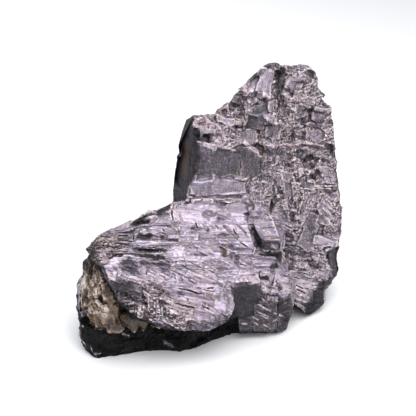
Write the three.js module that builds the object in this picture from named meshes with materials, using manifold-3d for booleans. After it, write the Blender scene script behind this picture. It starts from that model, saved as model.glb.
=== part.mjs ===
// A hand specimen of galena: one broken mass of crystals grown together, with a crust of quartz on its left end.
// Millimetres, +Z up. X runs left to right, Y from front to back, and the specimen rests on z = 0.

import * as THREE from "three";
import { ConvexGeometry } from "three/addons/geometries/ConvexGeometry.js";
import { mergeVertices } from "three/addons/utils/BufferGeometryUtils.js";
import Module from "manifold-3d";

const wasm = await Module();
wasm.setup();

// Driving dimensions
const cleavageStep = 0.45; // galena splits in steps, and every plate rises or sinks by a whole number of these
const grainWobble = 2.5; // degrees that a broken plate may lie out of true with its grain
const plateRoot = 1.6; // how far a raised plate reaches down into the mass below it
const crustGap = 0.3; // clearance between the quartz and the hollow that holds it
const hollowGrowth = 1.5; // corners of the hollow move out by this many gaps, so that its flats clear by one
const groundReach = 60; // half the width of the block that trims whatever falls below z = 0

const upward = new THREE.Vector3(0, 0, 1);
const sideways = new THREE.Vector3(1, 0, 0);

// --- Solids from three.js geometry ---

function solidOf(geometry) {
  const bare = new THREE.BufferGeometry().setAttribute("position", geometry.getAttribute("position").clone());
  if (geometry.index) bare.setIndex(geometry.index);
  const merged = mergeVertices(bare, 1e-4);
  return new wasm.Manifold(
    new wasm.Mesh({
      numProp: 3,
      vertProperties: merged.attributes.position.array,
      triVerts: new Uint32Array(merged.index.array),
    }),
  );
}

function geometryOf(solid) {
  const mesh = solid.getMesh();
  const made = new THREE.BufferGeometry();
  made.setAttribute("position", new THREE.BufferAttribute(mesh.vertProperties, 3));
  made.setIndex(new THREE.BufferAttribute(mesh.triVerts, 1));
  return made;
}

const hullOf = (vectors) => solidOf(new ConvexGeometry(vectors));
const hull = (...points) => hullOf(points.map((point) => new THREE.Vector3(...point)));

// The largest body of a solid: shards that the cuts leave loose fall away.
const soundBody = (solid) => solid.decompose().reduce((a, b) => (b.volume() > a.volume() ? b : a));

// Seeded random numbers, so that every build gives the same specimen.
function dice(seed) {
  let state = seed;
  const roll = () => {
    state = (state * 1664525 + 1013904223) % 4294967296;
    return state / 4294967296;
  };
  const between = (low, high) => low + (high - low) * roll();
  const around = (reach) => between(-reach, reach);
  return { roll, between, around };
}

// --- The main masses ---

// The dark foot under everything, flat underneath and undercut at the front.
const foot = hull(
  [-36, -17.6, 0], [-32, -21.2, 0], [-27, -20.8, 0], [-23.5, -18.3, 0], [-14.3, -17.2, 0], [-1, -14, 0],
  [8, -8, 0], [24, 0, 0], [28, 16, 0], [20, 25, 0], [4, 27, 0], [-14, 22, 0], [-34, -2, 0],
  [-40, -11, 9], [-40, -8, 17], [-37.5, -18, 8], [-31, -23, 9], [-20, -21, 12], [0, -16, 12], [12, -10, 12],
  [30, 6, 10], [32, 24, 12], [26, 32, 14], [4, 30, 14], [-12, 25, 16], [-37, 0, 20],
);

// The bench, the sloping seat in front of the slab, with its rounded nose to the left.
const bench = hull(
  [-6, 4, 40], [-11, 10, 36], [-19, 6, 35], [-24, 2, 32.8], [-29.5, -2, 33], [-33, -6, 33], [-35.8, -12, 32],
  [-34.8, -14.6, 30.4], [-29.4, -20.8, 30.4], [-26, -24.6, 23], [-25.4, -25, 21], [-21, -26, 17], [-12, -26, 12.5], [-1, -24, 10],
  [6, -20, 11.5], [8, -18, 16], [8, -15, 21.5], [11, 4, 35], [14, -6, 28.5], [12, 14, 34],
  [-36, -4, 20], [-31, 4, 14], [-12, 22, 12], [12, 20, 12], [10, -10, 9], [-25, -18, 12],
);

// The end of the bench under its nose, where the quartz sits.
const leftEnd = hull(
  [-38.5, -9, 13], [-37.6, -6, 24], [-35, -11.5, 29.5], [-31, -16.5, 28.5], [-26, -20.5, 20], [-26, -19.5, 12],
  [-33, -15.5, 11], [-38.5, -11, 10], [-28, -6, 12], [-30, -2, 27],
);

// The dark block at the front right, and the small one that stands between the bench and the slab.
const frontBlock = hull(
  [8, -15, 21.5], [16.6, -12.6, 20.4], [18.6, -8, 24.6], [9, -9, 26.8], [21.6, -9.2, 16.6], [25.4, -6, 14.8],
  [26, -4, 10], [25.4, -5, 4], [23, -8.5, 0.3], [10, -8.5, 0.3], [9.5, -13, 3],
  [24, 6, 0], [24, 8, 22], [8, 4, 0], [8, 6, 26],
);
const middleBlock = hull(
  [12.6, 7, 34.5], [18.7, 8.2, 33], [21.5, 8, 31.2], [23.4, 5.2, 29.2], [23.6, 2.2, 27.8], [22.4, -1, 27.4],
  [17.2, -2.2, 27.6], [14.6, 3, 31], [22.6, -1.6, 20], [17, -3, 20], [13, 12, 18], [25, 12, 18],
);

// The tall slab at the right, in two tiers, and the flank that flares from its lower end.
const slabLow = hull(
  [-6, 4, 40], [-2, 9.5, 55], [-4, 11.8, 64.4], [2, 13, 64.2], [-7, 19, 60], [-9.5, 17, 51], [-11.5, 14, 34],
  [39.6, 24.8, 56], [40, 21.2, 42], [42.2, 19, 33], [43.2, 18, 28], [42.8, 17, 22], [42.6, 14.8, 17], [42, 14.2, 11],
  [40.4, 13, 6.6], [34, 35, 54], [36, 35, 38], [36, 33, 20], [30, 33, 8], [4, 29, 58.4], [-6, 27, 51], [-10, 26, 24],
  [-11, 14, 20], [-4, 28, 10], [27, 29, 3], [36, 14, 5], [20, 2, 14], [-4, 2, 20],
);
const slabHigh = hull(
  [2, 13.5, 65], [6, 15.5, 67], [10, 18, 70.8], [14, 20.5, 74.2], [17, 22.3, 76], [20.5, 24, 76.6],
  [31, 27, 75], [33.8, 27.3, 71.8], [37, 26.6, 65.4], [39.6, 25, 56],
  [21, 33, 71.5], [30, 34, 69], [34, 35, 62], [34, 35, 54], [4, 27, 57], [0, 14, 56], [8, 31, 54],
);
const flank = hull(
  [18.5, -1, 20], [20, 4, 25], [38.6, 12.4, 14], [37.6, 7.1, 10], [28, -2.5, 6.4], [20.8, -5.5, 11.7],
  [39.6, 11.4, 6.6], [37, 5.4, 3], [32.9, 0.8, 1.8], [28.8, 1, 3], [34, 22, 2], [16, 14, 3], [16, 10, 24],
);

const mass = wasm.Manifold.union([foot, bench, leftEnd, frontBlock, middleBlock, slabLow, slabHigh, flank]);

// --- Faces and plates ---

// A face of the mass: x runs along its ledges, y up it and z out of it. Yaw turns it about the vertical,
// lean tips it back from upright, and roll lets its ledges run down to the right.
function face(middle, { yaw = 0, lean = 0, roll = 0 }) {
  const turn = (axis, degrees) =>
    new THREE.Quaternion().setFromAxisAngle(axis, THREE.MathUtils.degToRad(degrees));
  const grain = turn(upward, yaw).multiply(turn(sideways, 90 - lean)).multiply(turn(upward, -roll));
  const place = (along, up, out) =>
    new THREE.Vector3(along, up, out).applyQuaternion(grain).add(new THREE.Vector3(...middle));
  return { grain, place, outward: upward.clone().applyQuaternion(grain) };
}

const faces = {
  slab: face([10, 9, 45], { yaw: 20, lean: 15, roll: 13 }),
  slabLeft: face([-7, 14, 48], { yaw: -62, lean: -4 }),
  slabRight: face([40, 27, 40], { yaw: 85, lean: 4, roll: 12 }),
  slabBack: face([14, 34, 40], { yaw: 184, lean: 6, roll: -11 }),
  crest: face([14, 24, 70], { yaw: -20, lean: 62, roll: -6 }),
  seat: face([-5, -6, 33], { yaw: 23, lean: 56, roll: 12 }),
  slope: face([-8, -20, 21], { yaw: 17, lean: 27, roll: 22 }),
  nose: face([-31, -10, 31], { yaw: 2, lean: 68, roll: 8 }),
  leftEnd: face([-36, -8, 24], { yaw: -68, lean: 12 }),
  block: face([17, -11, 10], { yaw: 17, lean: -3, roll: 16 }),
  flank: face([29, 1, 13], { yaw: 38, lean: 30, roll: 24 }),
  footFront: face([-14, -19, 6], { yaw: 10, lean: -18 }),
  footLeft: face([-36, -8, 8], { yaw: -70, lean: -6 }),
  benchBack: face([-18, 22, 20], { yaw: 206, lean: 14, roll: 8 }),
};

// Where a line straight in from the face meets the solid, if it meets a surface that looks the face's way.
function landing(target, from, along, up) {
  const caster = new THREE.Raycaster(from.place(along, up, 60), from.outward.clone().negate());
  const [hit] = caster.intersectObject(target);
  return hit && hit.face.normal.dot(from.outward) > 0.45 ? hit.point : undefined;
}

// A plate of cleavage lying in the grain: a shingle that rises, or sinks, at one edge and fades out at the other,
// with its corners a little out of square.
function plate(grain, middle, [length, height, rise], random) {
  const tilt = random.between(-0.1, 0.75) * (random.roll() < 0.5 ? -1 : 1);
  const wobble = new THREE.Quaternion().setFromEuler(
    new THREE.Euler(...[1, 1, 0.6].map((share) => THREE.MathUtils.degToRad(random.around(grainWobble * share)))),
  );
  const corners = [];
  for (const [x, y] of [[-1, -1], [1, -1], [1, 1], [-1, 1]]) {
    const reachX = (x * length * random.between(0.84, 1.1)) / 2;
    const reachY = (y * height * random.between(0.8, 1.15)) / 2;
    const broken = rise * (1 + (y * Math.sign(tilt) - 1) * 0.5 * Math.abs(tilt));
    for (const [z, taper] of [[broken, rise > 0 ? 0.92 : 0.97], [-Math.sign(rise) * plateRoot, 1.04]]) {
      corners.push(
        new THREE.Vector3(reachX * taper, reachY * taper, z).applyQuaternion(wobble).applyQuaternion(grain).add(middle),
      );
    }
  }
  return hullOf(corners);
}

// Adds and cuts a list of plates in one go, where raised ones rise above zero and sunk ones go below it.
function dress(solid, plates) {
  const raised = plates.filter(({ rise }) => rise > 0).map(({ body }) => body);
  const sunk = plates.filter(({ rise }) => rise <= 0).map(({ body }) => body);
  return wasm.Manifold.union([solid, ...raised]).subtract(wasm.Manifold.union(sunk));
}

// --- Features placed by hand ---

// Each lies on a face at so many millimetres along and up it, with a length, a height and a rise; turn is in degrees.
const features = [
  // the slab: a smooth sunken panel, the notch and lumps over it, and the bright facet beside its crack
  { on: "slab", at: [-5.4, 0.4], size: [18.5, 15.5, -1.1] },
  { on: "slab", at: [-12.2, 10.2], size: [3, 2.2, -2.6] },
  { on: "slab", at: [-9.6, 14.6], size: [8, 5, 0.9] },
  { on: "slab", at: [4.4, 28.6], size: [4.6, 10, 1.1] },
  { on: "slab", at: [10, 27.6], size: [1.5, 11, -2.4] },
  { on: "slab", at: [2.6, 17], size: [6, 6, -1.7] },
  { on: "slab", at: [9.3, 17.2], size: [8, 1.6, 1.1] },
  { on: "slab", at: [-5, 22.7], size: [1.7, 1.6, -1.6] },
  { on: "slab", at: [-6.9, 19.2], size: [1.6, 2, -1.6] },
  { on: "slab", at: [24.3, 10.2], size: [11, 1.7, 1.1] },
  { on: "slab", at: [22.9, 6.4], size: [4, 2.8, -1.9] },
  { on: "slab", at: [21, 1.2], size: [2.6, 3.2, -1.7] },
  { on: "slab", at: [26.6, 2.4], size: [4, 2.4, -1.3] },
  { on: "slab", at: [12, -5.4], size: [1.3, 9.5, -1.5] },
  { on: "slab", at: [17.4, -5.4], size: [1.2, 5.4, -1.4] },
  { on: "slab", at: [23.5, -12.5], size: [3.2, 9, 0.9] },
  // the seat: dark grooves at its left, the pit, and the cracks that run down to the right
  { on: "seat", at: [-12, -0.9], size: [10, 1.7, -1.4] },
  { on: "seat", at: [-12.6, -5.5], size: [9.5, 1.1, -1.1] },
  { on: "seat", at: [-14, -7.3], size: [8, 0.9, -1.1] },
  { on: "seat", at: [-11.8, -9.6], size: [10, 1.8, -1.8] },
  { on: "seat", at: [9.8, -6], size: [2.2, 2.4, -1.8] },
  { on: "seat", at: [12.4, -8.2], size: [1, 5, -1.4], turn: 34 },
  { on: "seat", at: [12.2, 0.6], size: [0.9, 7, -1.2], turn: 38 },
  { on: "seat", at: [15.4, 2.6], size: [0.8, 6.5, -1.2], turn: 36 },
  { on: "seat", at: [4.6, 2.8], size: [0.9, 4, -1.1], turn: 24 },
  { on: "seat", at: [-2.4, 5.2], size: [0.8, 4.5, -1], turn: 12 },
  // the slope under it: pits at the left and two long cracks
  { on: "slope", at: [-7.6, -0.2], size: [3.8, 2.4, -1.9] },
  { on: "slope", at: [-11.4, -3.2], size: [3, 2, -1.3] },
  { on: "slope", at: [4.4, 0.6], size: [12.5, 0.9, -1.4] },
  { on: "slope", at: [-0.8, -3.6], size: [9.5, 0.9, -1.4] },
  { on: "slope", at: [12.4, 0.4], size: [4.4, 4, 0.7] },
  // the middle block: thin ledges across its dark front, and the split that parts it from the bench
  { on: "block", at: [1.6, 16.4], size: [5.6, 0.8, -1.2] },
  { on: "block", at: [1.8, 13.4], size: [5.4, 0.9, -1.2] },
  { on: "seat", at: [20.4, 0.4], size: [2, 14, -3.4], turn: 22 },
];

function placed(target, random) {
  return features.flatMap(({ on, at, size, turn = 0 }) => {
    const point = landing(target, faces[on], ...at);
    if (!point) return [];
    const spin = new THREE.Quaternion().setFromAxisAngle(upward, THREE.MathUtils.degToRad(turn));
    const grain = faces[on].grain.clone().multiply(spin);
    return [{ rise: size[2], body: plate(grain, point, size, random) }];
  });
}

// --- Plates strewn over the faces ---

// How each face is broken up: how many plates, over what patch, how long and high they are, how many steps they
// rise or sink by, and what share of them is sunk.
const breakage = [
  { on: "slab", count: 92, patch: [-18, 36, -24, 36], length: [2.5, 10], height: [1.6, 5], steps: [1, 3], sunk: 0.5 },
  { on: "seat", count: 38, patch: [-22, 24, -11, 11], length: [5, 18], height: [0.9, 2.6], steps: [1, 2], sunk: 0.5 },
  { on: "slope", count: 32, patch: [-20, 17, -11, 6], length: [4, 15], height: [0.9, 2.6], steps: [1, 2], sunk: 0.5 },
  { on: "nose", count: 16, patch: [-6, 8, -6, 9], length: [4, 10], height: [0.8, 2], steps: [1, 2], sunk: 0.5 },
  { on: "leftEnd", count: 6, patch: [-9, 9, -8, 9], length: [2, 6], height: [1.5, 4], steps: [1, 3], sunk: 0.5 },
  { on: "block", count: 14, patch: [-8, 9, -9, 10], length: [2, 7], height: [0.8, 2], steps: [1, 2], sunk: 0.5 },
  { on: "flank", count: 16, patch: [-10, 11, -9, 9], length: [2, 8], height: [0.9, 2.2], steps: [1, 2], sunk: 0.5 },
  { on: "crest", count: 12, patch: [-22, 20, -10, 8], length: [2, 6], height: [1.5, 4], steps: [1, 2], sunk: 0.6 },
  { on: "slabRight", count: 16, patch: [-9, 9, -30, 26], length: [2.5, 7], height: [2, 6], steps: [1, 3], sunk: 0.6 },
  { on: "slabLeft", count: 4, patch: [-6, 6, -12, 10], length: [3, 7], height: [4, 9], steps: [1, 1], sunk: 0.5 },
  { on: "slabBack", count: 34, patch: [-24, 24, -30, 30], length: [6, 18], height: [4, 12], steps: [2, 5], sunk: 0.6 },
  { on: "benchBack", count: 14, patch: [-18, 16, -18, 14], length: [4, 12], height: [3, 8], steps: [2, 4], sunk: 0.6 },
  { on: "footFront", count: 12, patch: [-22, 24, -5, 5], length: [3, 9], height: [2, 5], steps: [1, 3], sunk: 0.5 },
  { on: "footLeft", count: 6, patch: [-10, 12, -6, 8], length: [3, 7], height: [2, 5], steps: [1, 2], sunk: 0.5 },
];

function strewn(target, { on, count, patch, length, height, steps, sunk }, random) {
  const [left, right, bottom, top] = patch;
  const plates = [];
  for (let i = 0; i < count; i += 1) {
    const [along, up] = [random.between(left, right), random.between(bottom, top)];
    const small = random.roll() ** 1.5; // small plates are the most common
    const rise = cleavageStep * Math.round(random.between(...steps)) * (random.roll() < sunk ? -1 : 1);
    const size = [length[0] + small * (length[1] - length[0]), random.between(...height), rise];
    const point = landing(target, faces[on], along, up);
    if (point && (rise < 0 || carried(target, faces[on], point, along, up, size))) {
      plates.push({ rise, body: plate(faces[on].grain, point, size, random) });
    }
  }
  return plates;
}

// Whether the mass lies close under both ends of a raised plate, so that none sticks out into the air.
function carried(target, from, point, along, up, [length, height]) {
  return [[-0.5, 0.4], [0.5, -0.4], [-0.5, -0.4], [0.5, 0.4]].every(([x, y]) => {
    const end = landing(target, from, along + x * length, up + y * height);
    return end && Math.abs(end.sub(point).dot(from.outward)) < plateRoot;
  });
}

// --- The quartz crust ---

// Lumps of quartz, each a middle and a reach, in rows from under the nose down to the foot, and then along under the
// rim of the bench. They stand taller than they are wide.
const quartzLumps = [
  [[-34.4, -11.8, 24.4], 3.4], [[-31, -16, 25], 3.4],
  [[-35.6, -11, 18.8], 3.8], [[-32, -15.4, 19.6], 4.2], [[-28.4, -19, 20.6], 3.8],
  [[-36, -12, 13], 3.8], [[-32.2, -16.8, 13.6], 4.6], [[-27.8, -19.8, 15], 4],
  [[-31.6, -18.2, 10.4], 3.4], [[-27, -20.6, 11.4], 3.4], [[-22.6, -21.2, 13.6], 3.2],
  [[-18.6, -21.6, 13.6], 3], [[-15.4, -22.2, 13.4], 2.8],
];
const lumpStretch = [0.9, 0.9, 1.3];
const lumpCorners = [-1, 1].flatMap((x) => [-1, 1].flatMap((y) => [-1, 1].map((z) => [x, y, z]))).concat([[0, 0, 1.6]]);

// The lumps joined in one solid, all of them grown by the same amount, so that the hollow can be cut a little larger.
function quartzSolid(grown) {
  const random = dice(7);
  return wasm.Manifold.union(
    quartzLumps.map(([middle, reach]) => {
      const spin = new THREE.Euler(random.around(3), random.around(3), random.around(3));
      const corners = [];
      for (const corner of lumpCorners) {
        corners.push(
          new THREE.Vector3(...corner).normalize()
            .applyEuler(spin)
            .multiplyScalar(reach * random.between(0.86, 1.2) + grown)
            .multiply(new THREE.Vector3(...lumpStretch))
            .add(new THREE.Vector3(...middle)),
        );
      }
      return hullOf(corners);
    }),
  );
}

// --- The galena and its quartz ---

const random = dice(20);
const targetOf = (solid) => new THREE.Mesh(geometryOf(solid), new THREE.MeshBasicMaterial({ side: THREE.DoubleSide }));

const rough = targetOf(mass);
const broken = dress(mass, breakage.flatMap((rule) => strewn(rough, rule, random)));
const shaped = dress(broken, placed(rough, random));
const hollowed = shaped.subtract(quartzSolid(crustGap * hollowGrowth));

const ground = solidOf(new THREE.BoxGeometry(2 * groundReach, 2 * groundReach, groundReach))
  .translate([0, 0, -groundReach / 2]);

const galena = new THREE.Mesh(
  geometryOf(soundBody(hollowed.subtract(ground))),
  new THREE.MeshStandardMaterial({ name: "galena", color: 0x77707c, roughness: 0.5, metalness: 0.6 }),
);
galena.name = "galena";

const quartz = new THREE.Mesh(
  geometryOf(quartzSolid(0)),
  new THREE.MeshStandardMaterial({ name: "quartz", color: 0xb09c86, roughness: 0.35, metalness: 0 }),
);
quartz.name = "quartz";

const specimen = new THREE.Group();
specimen.add(galena, quartz);

export default specimen;
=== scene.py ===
import itertools
import math

import bmesh
import bpy
import numpy as np
from mathutils import Matrix, Vector
from mathutils.bvhtree import BVHTree


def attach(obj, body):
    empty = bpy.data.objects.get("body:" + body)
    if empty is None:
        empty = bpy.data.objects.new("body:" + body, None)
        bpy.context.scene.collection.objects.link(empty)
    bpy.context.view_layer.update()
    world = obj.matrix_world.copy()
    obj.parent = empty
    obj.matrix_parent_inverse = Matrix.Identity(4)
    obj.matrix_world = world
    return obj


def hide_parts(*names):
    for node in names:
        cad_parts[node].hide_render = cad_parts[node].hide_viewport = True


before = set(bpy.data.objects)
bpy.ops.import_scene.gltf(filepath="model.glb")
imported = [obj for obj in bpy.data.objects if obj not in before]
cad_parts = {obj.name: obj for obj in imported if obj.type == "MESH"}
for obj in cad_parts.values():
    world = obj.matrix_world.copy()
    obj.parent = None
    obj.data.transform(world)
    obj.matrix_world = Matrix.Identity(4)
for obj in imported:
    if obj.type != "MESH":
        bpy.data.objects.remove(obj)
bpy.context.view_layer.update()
print("frame loaded")

mm = 0.001

# camera, floor and light

view = {
    "target": (0, 0, 39 * mm),
    "elevation": 26,  # degrees above level, from straight in front
    "distance": 294 * mm,
    "nearest": 10 * mm,
    "lens": 85,
    "film": 36,  # mm across
    "points": 416,  # across and down; places in the view count from its upper left corner
}
studio = {
    "floorSize": 4,
    "floorColour": (0.86, 0.86, 0.87, 1),
    "floorRoughness": 0.8,
    "worldColour": (0.9, 0.92, 1, 1),
    "worldStrength": 0.4,
    # place, size across and power of each soft lamp
    "lamps": {
        "topSoftbox": ((0.08, -0.12, 0.55), 0.60, 4.2),
        "frontSoftbox": ((0.30, -0.50, 0.30), 0.35, 1.2),
        "rearSoftbox": ((-0.25, 0.45, 0.35), 0.40, 1.2),
    },
    "lampsAimAt": (0, 0, 30 * mm),
}


def aimAt(thing, target):
    way = Vector(target) - thing.location
    thing.rotation_mode = "QUATERNION"
    thing.rotation_quaternion = way.to_track_quat("-Z", "Y")


def cameraAxes():
    # rows: to the right, up and straight ahead
    tilt = math.radians(view["elevation"])
    rise, run = math.sin(tilt), math.cos(tilt)
    return np.array([(1, 0, 0), (0, rise, run), (0, run, -rise)])


def eyePoint():
    return np.array(view["target"]) - cameraAxes()[2] * view["distance"]


def makeCamera():
    camera = bpy.data.objects.new("camera", bpy.data.cameras.new("camera"))
    camera.data.lens = view["lens"]
    camera.data.sensor_width = view["film"]
    camera.data.clip_start = view["nearest"]
    camera.location = eyePoint()
    aimAt(camera, view["target"])
    bpy.context.scene.collection.objects.link(camera)
    bpy.context.scene.camera = camera


def newMaterial(name):
    material = bpy.data.materials.new(name)
    material.use_nodes = True
    tree = material.node_tree
    return material, tree, tree.nodes["Principled BSDF"]


def meshObject(name, bm):
    mesh = bpy.data.meshes.new(name)
    bm.to_mesh(mesh)
    bm.free()
    thing = bpy.data.objects.new(name, mesh)
    bpy.context.scene.collection.objects.link(thing)
    return thing


def makeFloor():
    bm = bmesh.new()
    bmesh.ops.create_grid(bm, x_segments=1, y_segments=1, size=studio["floorSize"] / 2)
    floor = meshObject("floor", bm)
    material, tree, shader = newMaterial("paleFloor")
    shader.inputs["Base Color"].default_value = studio["floorColour"]
    shader.inputs["Roughness"].default_value = studio["floorRoughness"]
    floor.data.materials.append(material)


def makeLight():
    world = bpy.data.worlds.new("studioWorld")
    world.use_nodes = True
    background = world.node_tree.nodes["Background"]
    background.inputs["Color"].default_value = studio["worldColour"]
    background.inputs["Strength"].default_value = studio["worldStrength"]
    bpy.context.scene.world = world
    for name, (place, size, power) in studio["lamps"].items():
        lamp = bpy.data.lights.new(name, "AREA")
        lamp.size = size
        lamp.energy = power
        holder = bpy.data.objects.new(name, lamp)
        holder.location = place
        aimAt(holder, studio["lampsAimAt"])
        bpy.context.scene.collection.objects.link(holder)
    bpy.context.scene.view_settings.view_transform = "Standard"


makeCamera()
makeFloor()
makeLight()
print("camera, floor and lamps placed")

# from places in the view to points of the plain solids


def plainSolids():
    # both solids as one tree that rays can be cast at
    bm = bmesh.new()
    for node in ("galena", "quartz"):
        bm.from_mesh(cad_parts[node].data)
    tree = BVHTree.FromBMesh(bm)
    bm.free()
    return tree


solids = plainSolids()


def inView(point):
    # the place in the view where a point given in mm shows
    across, up, ahead = cameraAxes() @ (np.asarray(point) * mm - eyePoint())
    scale = view["points"] * view["lens"] / view["film"] / ahead
    return view["points"] / 2 + np.array((across, -up)) * scale


def onSolid(line):
    # the points in mm of the plain solids that show at places in the view
    middle = view["points"] / 2
    slope = view["film"] / view["lens"] / view["points"]
    spots = []
    for x, y in line:
        way = np.array(((x - middle) * slope, (middle - y) * slope, 1)) @ cameraAxes()
        spot = solids.ray_cast(Vector(eyePoint()), Vector(way).normalized())[0]
        if spot:
            spots.append(np.array(spot) / mm)
    return spots


def boxOnSolid(corner, opposite, axes):
    # the middle of a box in the view, and half its size along the first two axes, in mm
    low, high = np.array(corner), np.array(opposite)
    middle = onSolid([(low + high) / 2])[0]
    along, up = (np.abs(inView(middle + axis) - inView(middle)) for axis in axes[:2])
    across, down = (high - low) / 2
    return middle, np.array((across / along[0], down / up[1]))


# working on a dense mesh as arrays of points


def copyOfNode(node, name):
    bm = bmesh.new()
    bm.from_mesh(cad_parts[node].data)
    bmesh.ops.remove_doubles(bm, verts=bm.verts, dist=0.001 * mm)
    return meshObject(name, bm)


def applyModifier(thing, kind, **settings):
    modifier = thing.modifiers.new(kind, kind)
    for name, value in settings.items():
        setattr(modifier, name, value)
    ready = thing.evaluated_get(bpy.context.evaluated_depsgraph_get())
    mesh = bpy.data.meshes.new_from_object(ready)
    thing.modifiers.clear()
    old, thing.data = thing.data, mesh
    bpy.data.meshes.remove(old)


def dropCrumbs(thing):
    # faces that no edge joins to the rest of the piece fall away
    bm = bmesh.new()
    bm.from_mesh(thing.data)
    waiting = set(bm.faces)
    lumps = []
    while waiting:
        front = [waiting.pop()]
        lump = []
        while front:
            face = front.pop()
            lump.append(face)
            joined = {other for edge in face.edges for other in edge.link_faces} & waiting
            waiting -= joined
            front.extend(joined)
        lumps.append(lump)
    lumps.sort(key=len)
    crumbs = [face for lump in lumps[:-1] for face in lump]
    bmesh.ops.delete(bm, geom=crumbs, context="FACES")
    bm.to_mesh(thing.data)
    bm.free()


def thinned(thing, triangles):
    # a mesh of triangles, about this many, in one closed piece
    applyModifier(thing, "TRIANGULATE")
    applyModifier(thing, "DECIMATE", ratio=min(1, triangles / len(thing.data.polygons)))
    dropCrumbs(thing)


def pointsOf(thing):
    points = np.empty(len(thing.data.vertices) * 3)
    thing.data.vertices.foreach_get("co", points)
    return points.reshape(-1, 3) / mm


def setPoints(thing, points):
    thing.data.vertices.foreach_set("co", (points * mm).ravel())
    thing.data.update()


def normalsOf(thing):
    normals = np.empty(len(thing.data.vertices) * 3)
    thing.data.vertices.foreach_get("normal", normals)
    return normals.reshape(-1, 3)


def setAttribute(thing, name, values):
    kind = "FLOAT" if values.ndim == 1 else "FLOAT_VECTOR"
    attribute = thing.data.attributes.new(name, kind, "POINT")
    attribute.data.foreach_set("value" if values.ndim == 1 else "vector", values.astype(np.float32).ravel())


def linksOf(thing):
    # the two ends of every edge and how many edges meet at each point
    ends = np.empty(len(thing.data.edges) * 2, np.int32)
    thing.data.edges.foreach_get("vertices", ends)
    first, second = ends.reshape(-1, 2).T.copy()
    return first, second, np.bincount(ends, minlength=len(thing.data.vertices)).astype(float)


def evened(links, values, rounds):
    # every point takes the mean of its neighbours, over and over
    first, second, count = links
    flat = values.reshape(len(values), -1).T.copy()
    for _ in range(rounds):
        for row in flat:
            ahead = np.bincount(first, row[second], len(row))
            behind = np.bincount(second, row[first], len(row))
            row[:] = (ahead + behind) / count
    return flat.T.reshape(values.shape)


def unit(vectors):
    return vectors / np.maximum(np.linalg.norm(vectors, axis=1, keepdims=True), 1e-9)


def dots(first, second):
    return np.einsum("ij,ij->i", first, second)


def scatter(cells, seed):
    # a random number from 0 to 1 for each whole-numbered cell: large odd factors mix the bits
    x, y, z = cells.astype(np.int64).T
    mixed = (x * 73856093) ^ (y * 19349663) ^ (z * 83492791) ^ (seed * 2654435761)
    mixed = ((mixed ^ (mixed >> 13)) * 1274126177) & 0xFFFFFFFF
    mixed = ((mixed ^ (mixed >> 15)) * 2246822519) & 0xFFFFFFFF
    return ((mixed ^ (mixed >> 16)) & 0xFFFFFF) / 0xFFFFFF


def softNoise(points, size, seed):
    # smooth noise from 0 to 1, with bumps of the given size in mm
    where = points / size
    corner = np.floor(where)
    part = where - corner
    part = part * part * (3 - 2 * part)
    total = np.zeros(len(points))
    for step in itertools.product((0, 1), repeat=3):
        step = np.array(step)
        weight = np.prod(np.where(step == 1, part, 1 - part), axis=1)
        total += weight * scatter(corner + step, seed)
    return total


def smoothStep(low, high, value):
    part = np.clip((value - low) / (high - low), 0, 1)
    return part * part * (3 - 2 * part)


def nearLine(points, line, reach):
    # the points within reach of the line: how far away, how far from its nearer end, and which way they lie
    line = np.array(line)
    inside = np.all((points > line.min(axis=0) - reach) & (points < line.max(axis=0) + reach), axis=1)
    chosen = np.flatnonzero(inside)
    near = points[chosen]
    lengths = np.linalg.norm(np.diff(line, axis=0), axis=1)
    distance = np.full(len(chosen), np.inf)
    end = np.zeros(len(chosen))
    offset = np.zeros_like(near)
    for k, length in enumerate(lengths):
        way = (line[k + 1] - line[k]) / length
        part = np.clip((near - line[k]) @ way, 0, length)
        away = near - (line[k] + part[:, None] * way)
        gap = np.linalg.norm(away, axis=1)
        closer = gap < distance
        distance[closer] = gap[closer]
        along = lengths[:k].sum() + part[closer]
        end[closer] = np.minimum(along, lengths.sum() - along)
        offset[closer] = away[closer]
    kept = distance < reach
    return chosen[kept], distance[kept], end[kept], offset[kept]


def swell(points, swells):
    # bulges, each with a middle, a reach and a push
    moved = np.zeros_like(points)
    for middle, reach, push in swells:
        weight = 1 - smoothStep(0, 1, np.linalg.norm(points - middle, axis=1) / reach)
        moved += weight[:, None] * np.array(push)
    return moved


laying = {
    # how far a strip is looked for, where it fades out and how far its edges waver, all of its reach
    "reach": 1.4,
    "edge": (0.55, 1.1),
    "ragged": 0.6,
}


def laidOn(points, values, strips, ragged):
    # strips of a value, each with a reach, the value and the places in the view that it runs through
    for reach, value, line in strips:
        chosen, distance, *_ = nearLine(points, onSolid(line), reach * laying["reach"])
        weight = 1 - smoothStep(*laying["edge"], distance / reach + ragged[chosen] * laying["ragged"])
        values[chosen] += (value - values[chosen]) * weight
    return values


def patchwork(points, values, patches, low=0.6, high=1.15):
    # each patch takes its own value near its middle
    for middle, reach, value in patches:
        weight = 1 - smoothStep(low, high, np.linalg.norm(points - middle, axis=1) / reach)
        values = values + (value - values) * weight
    return values


# the grains of the galena

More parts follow.
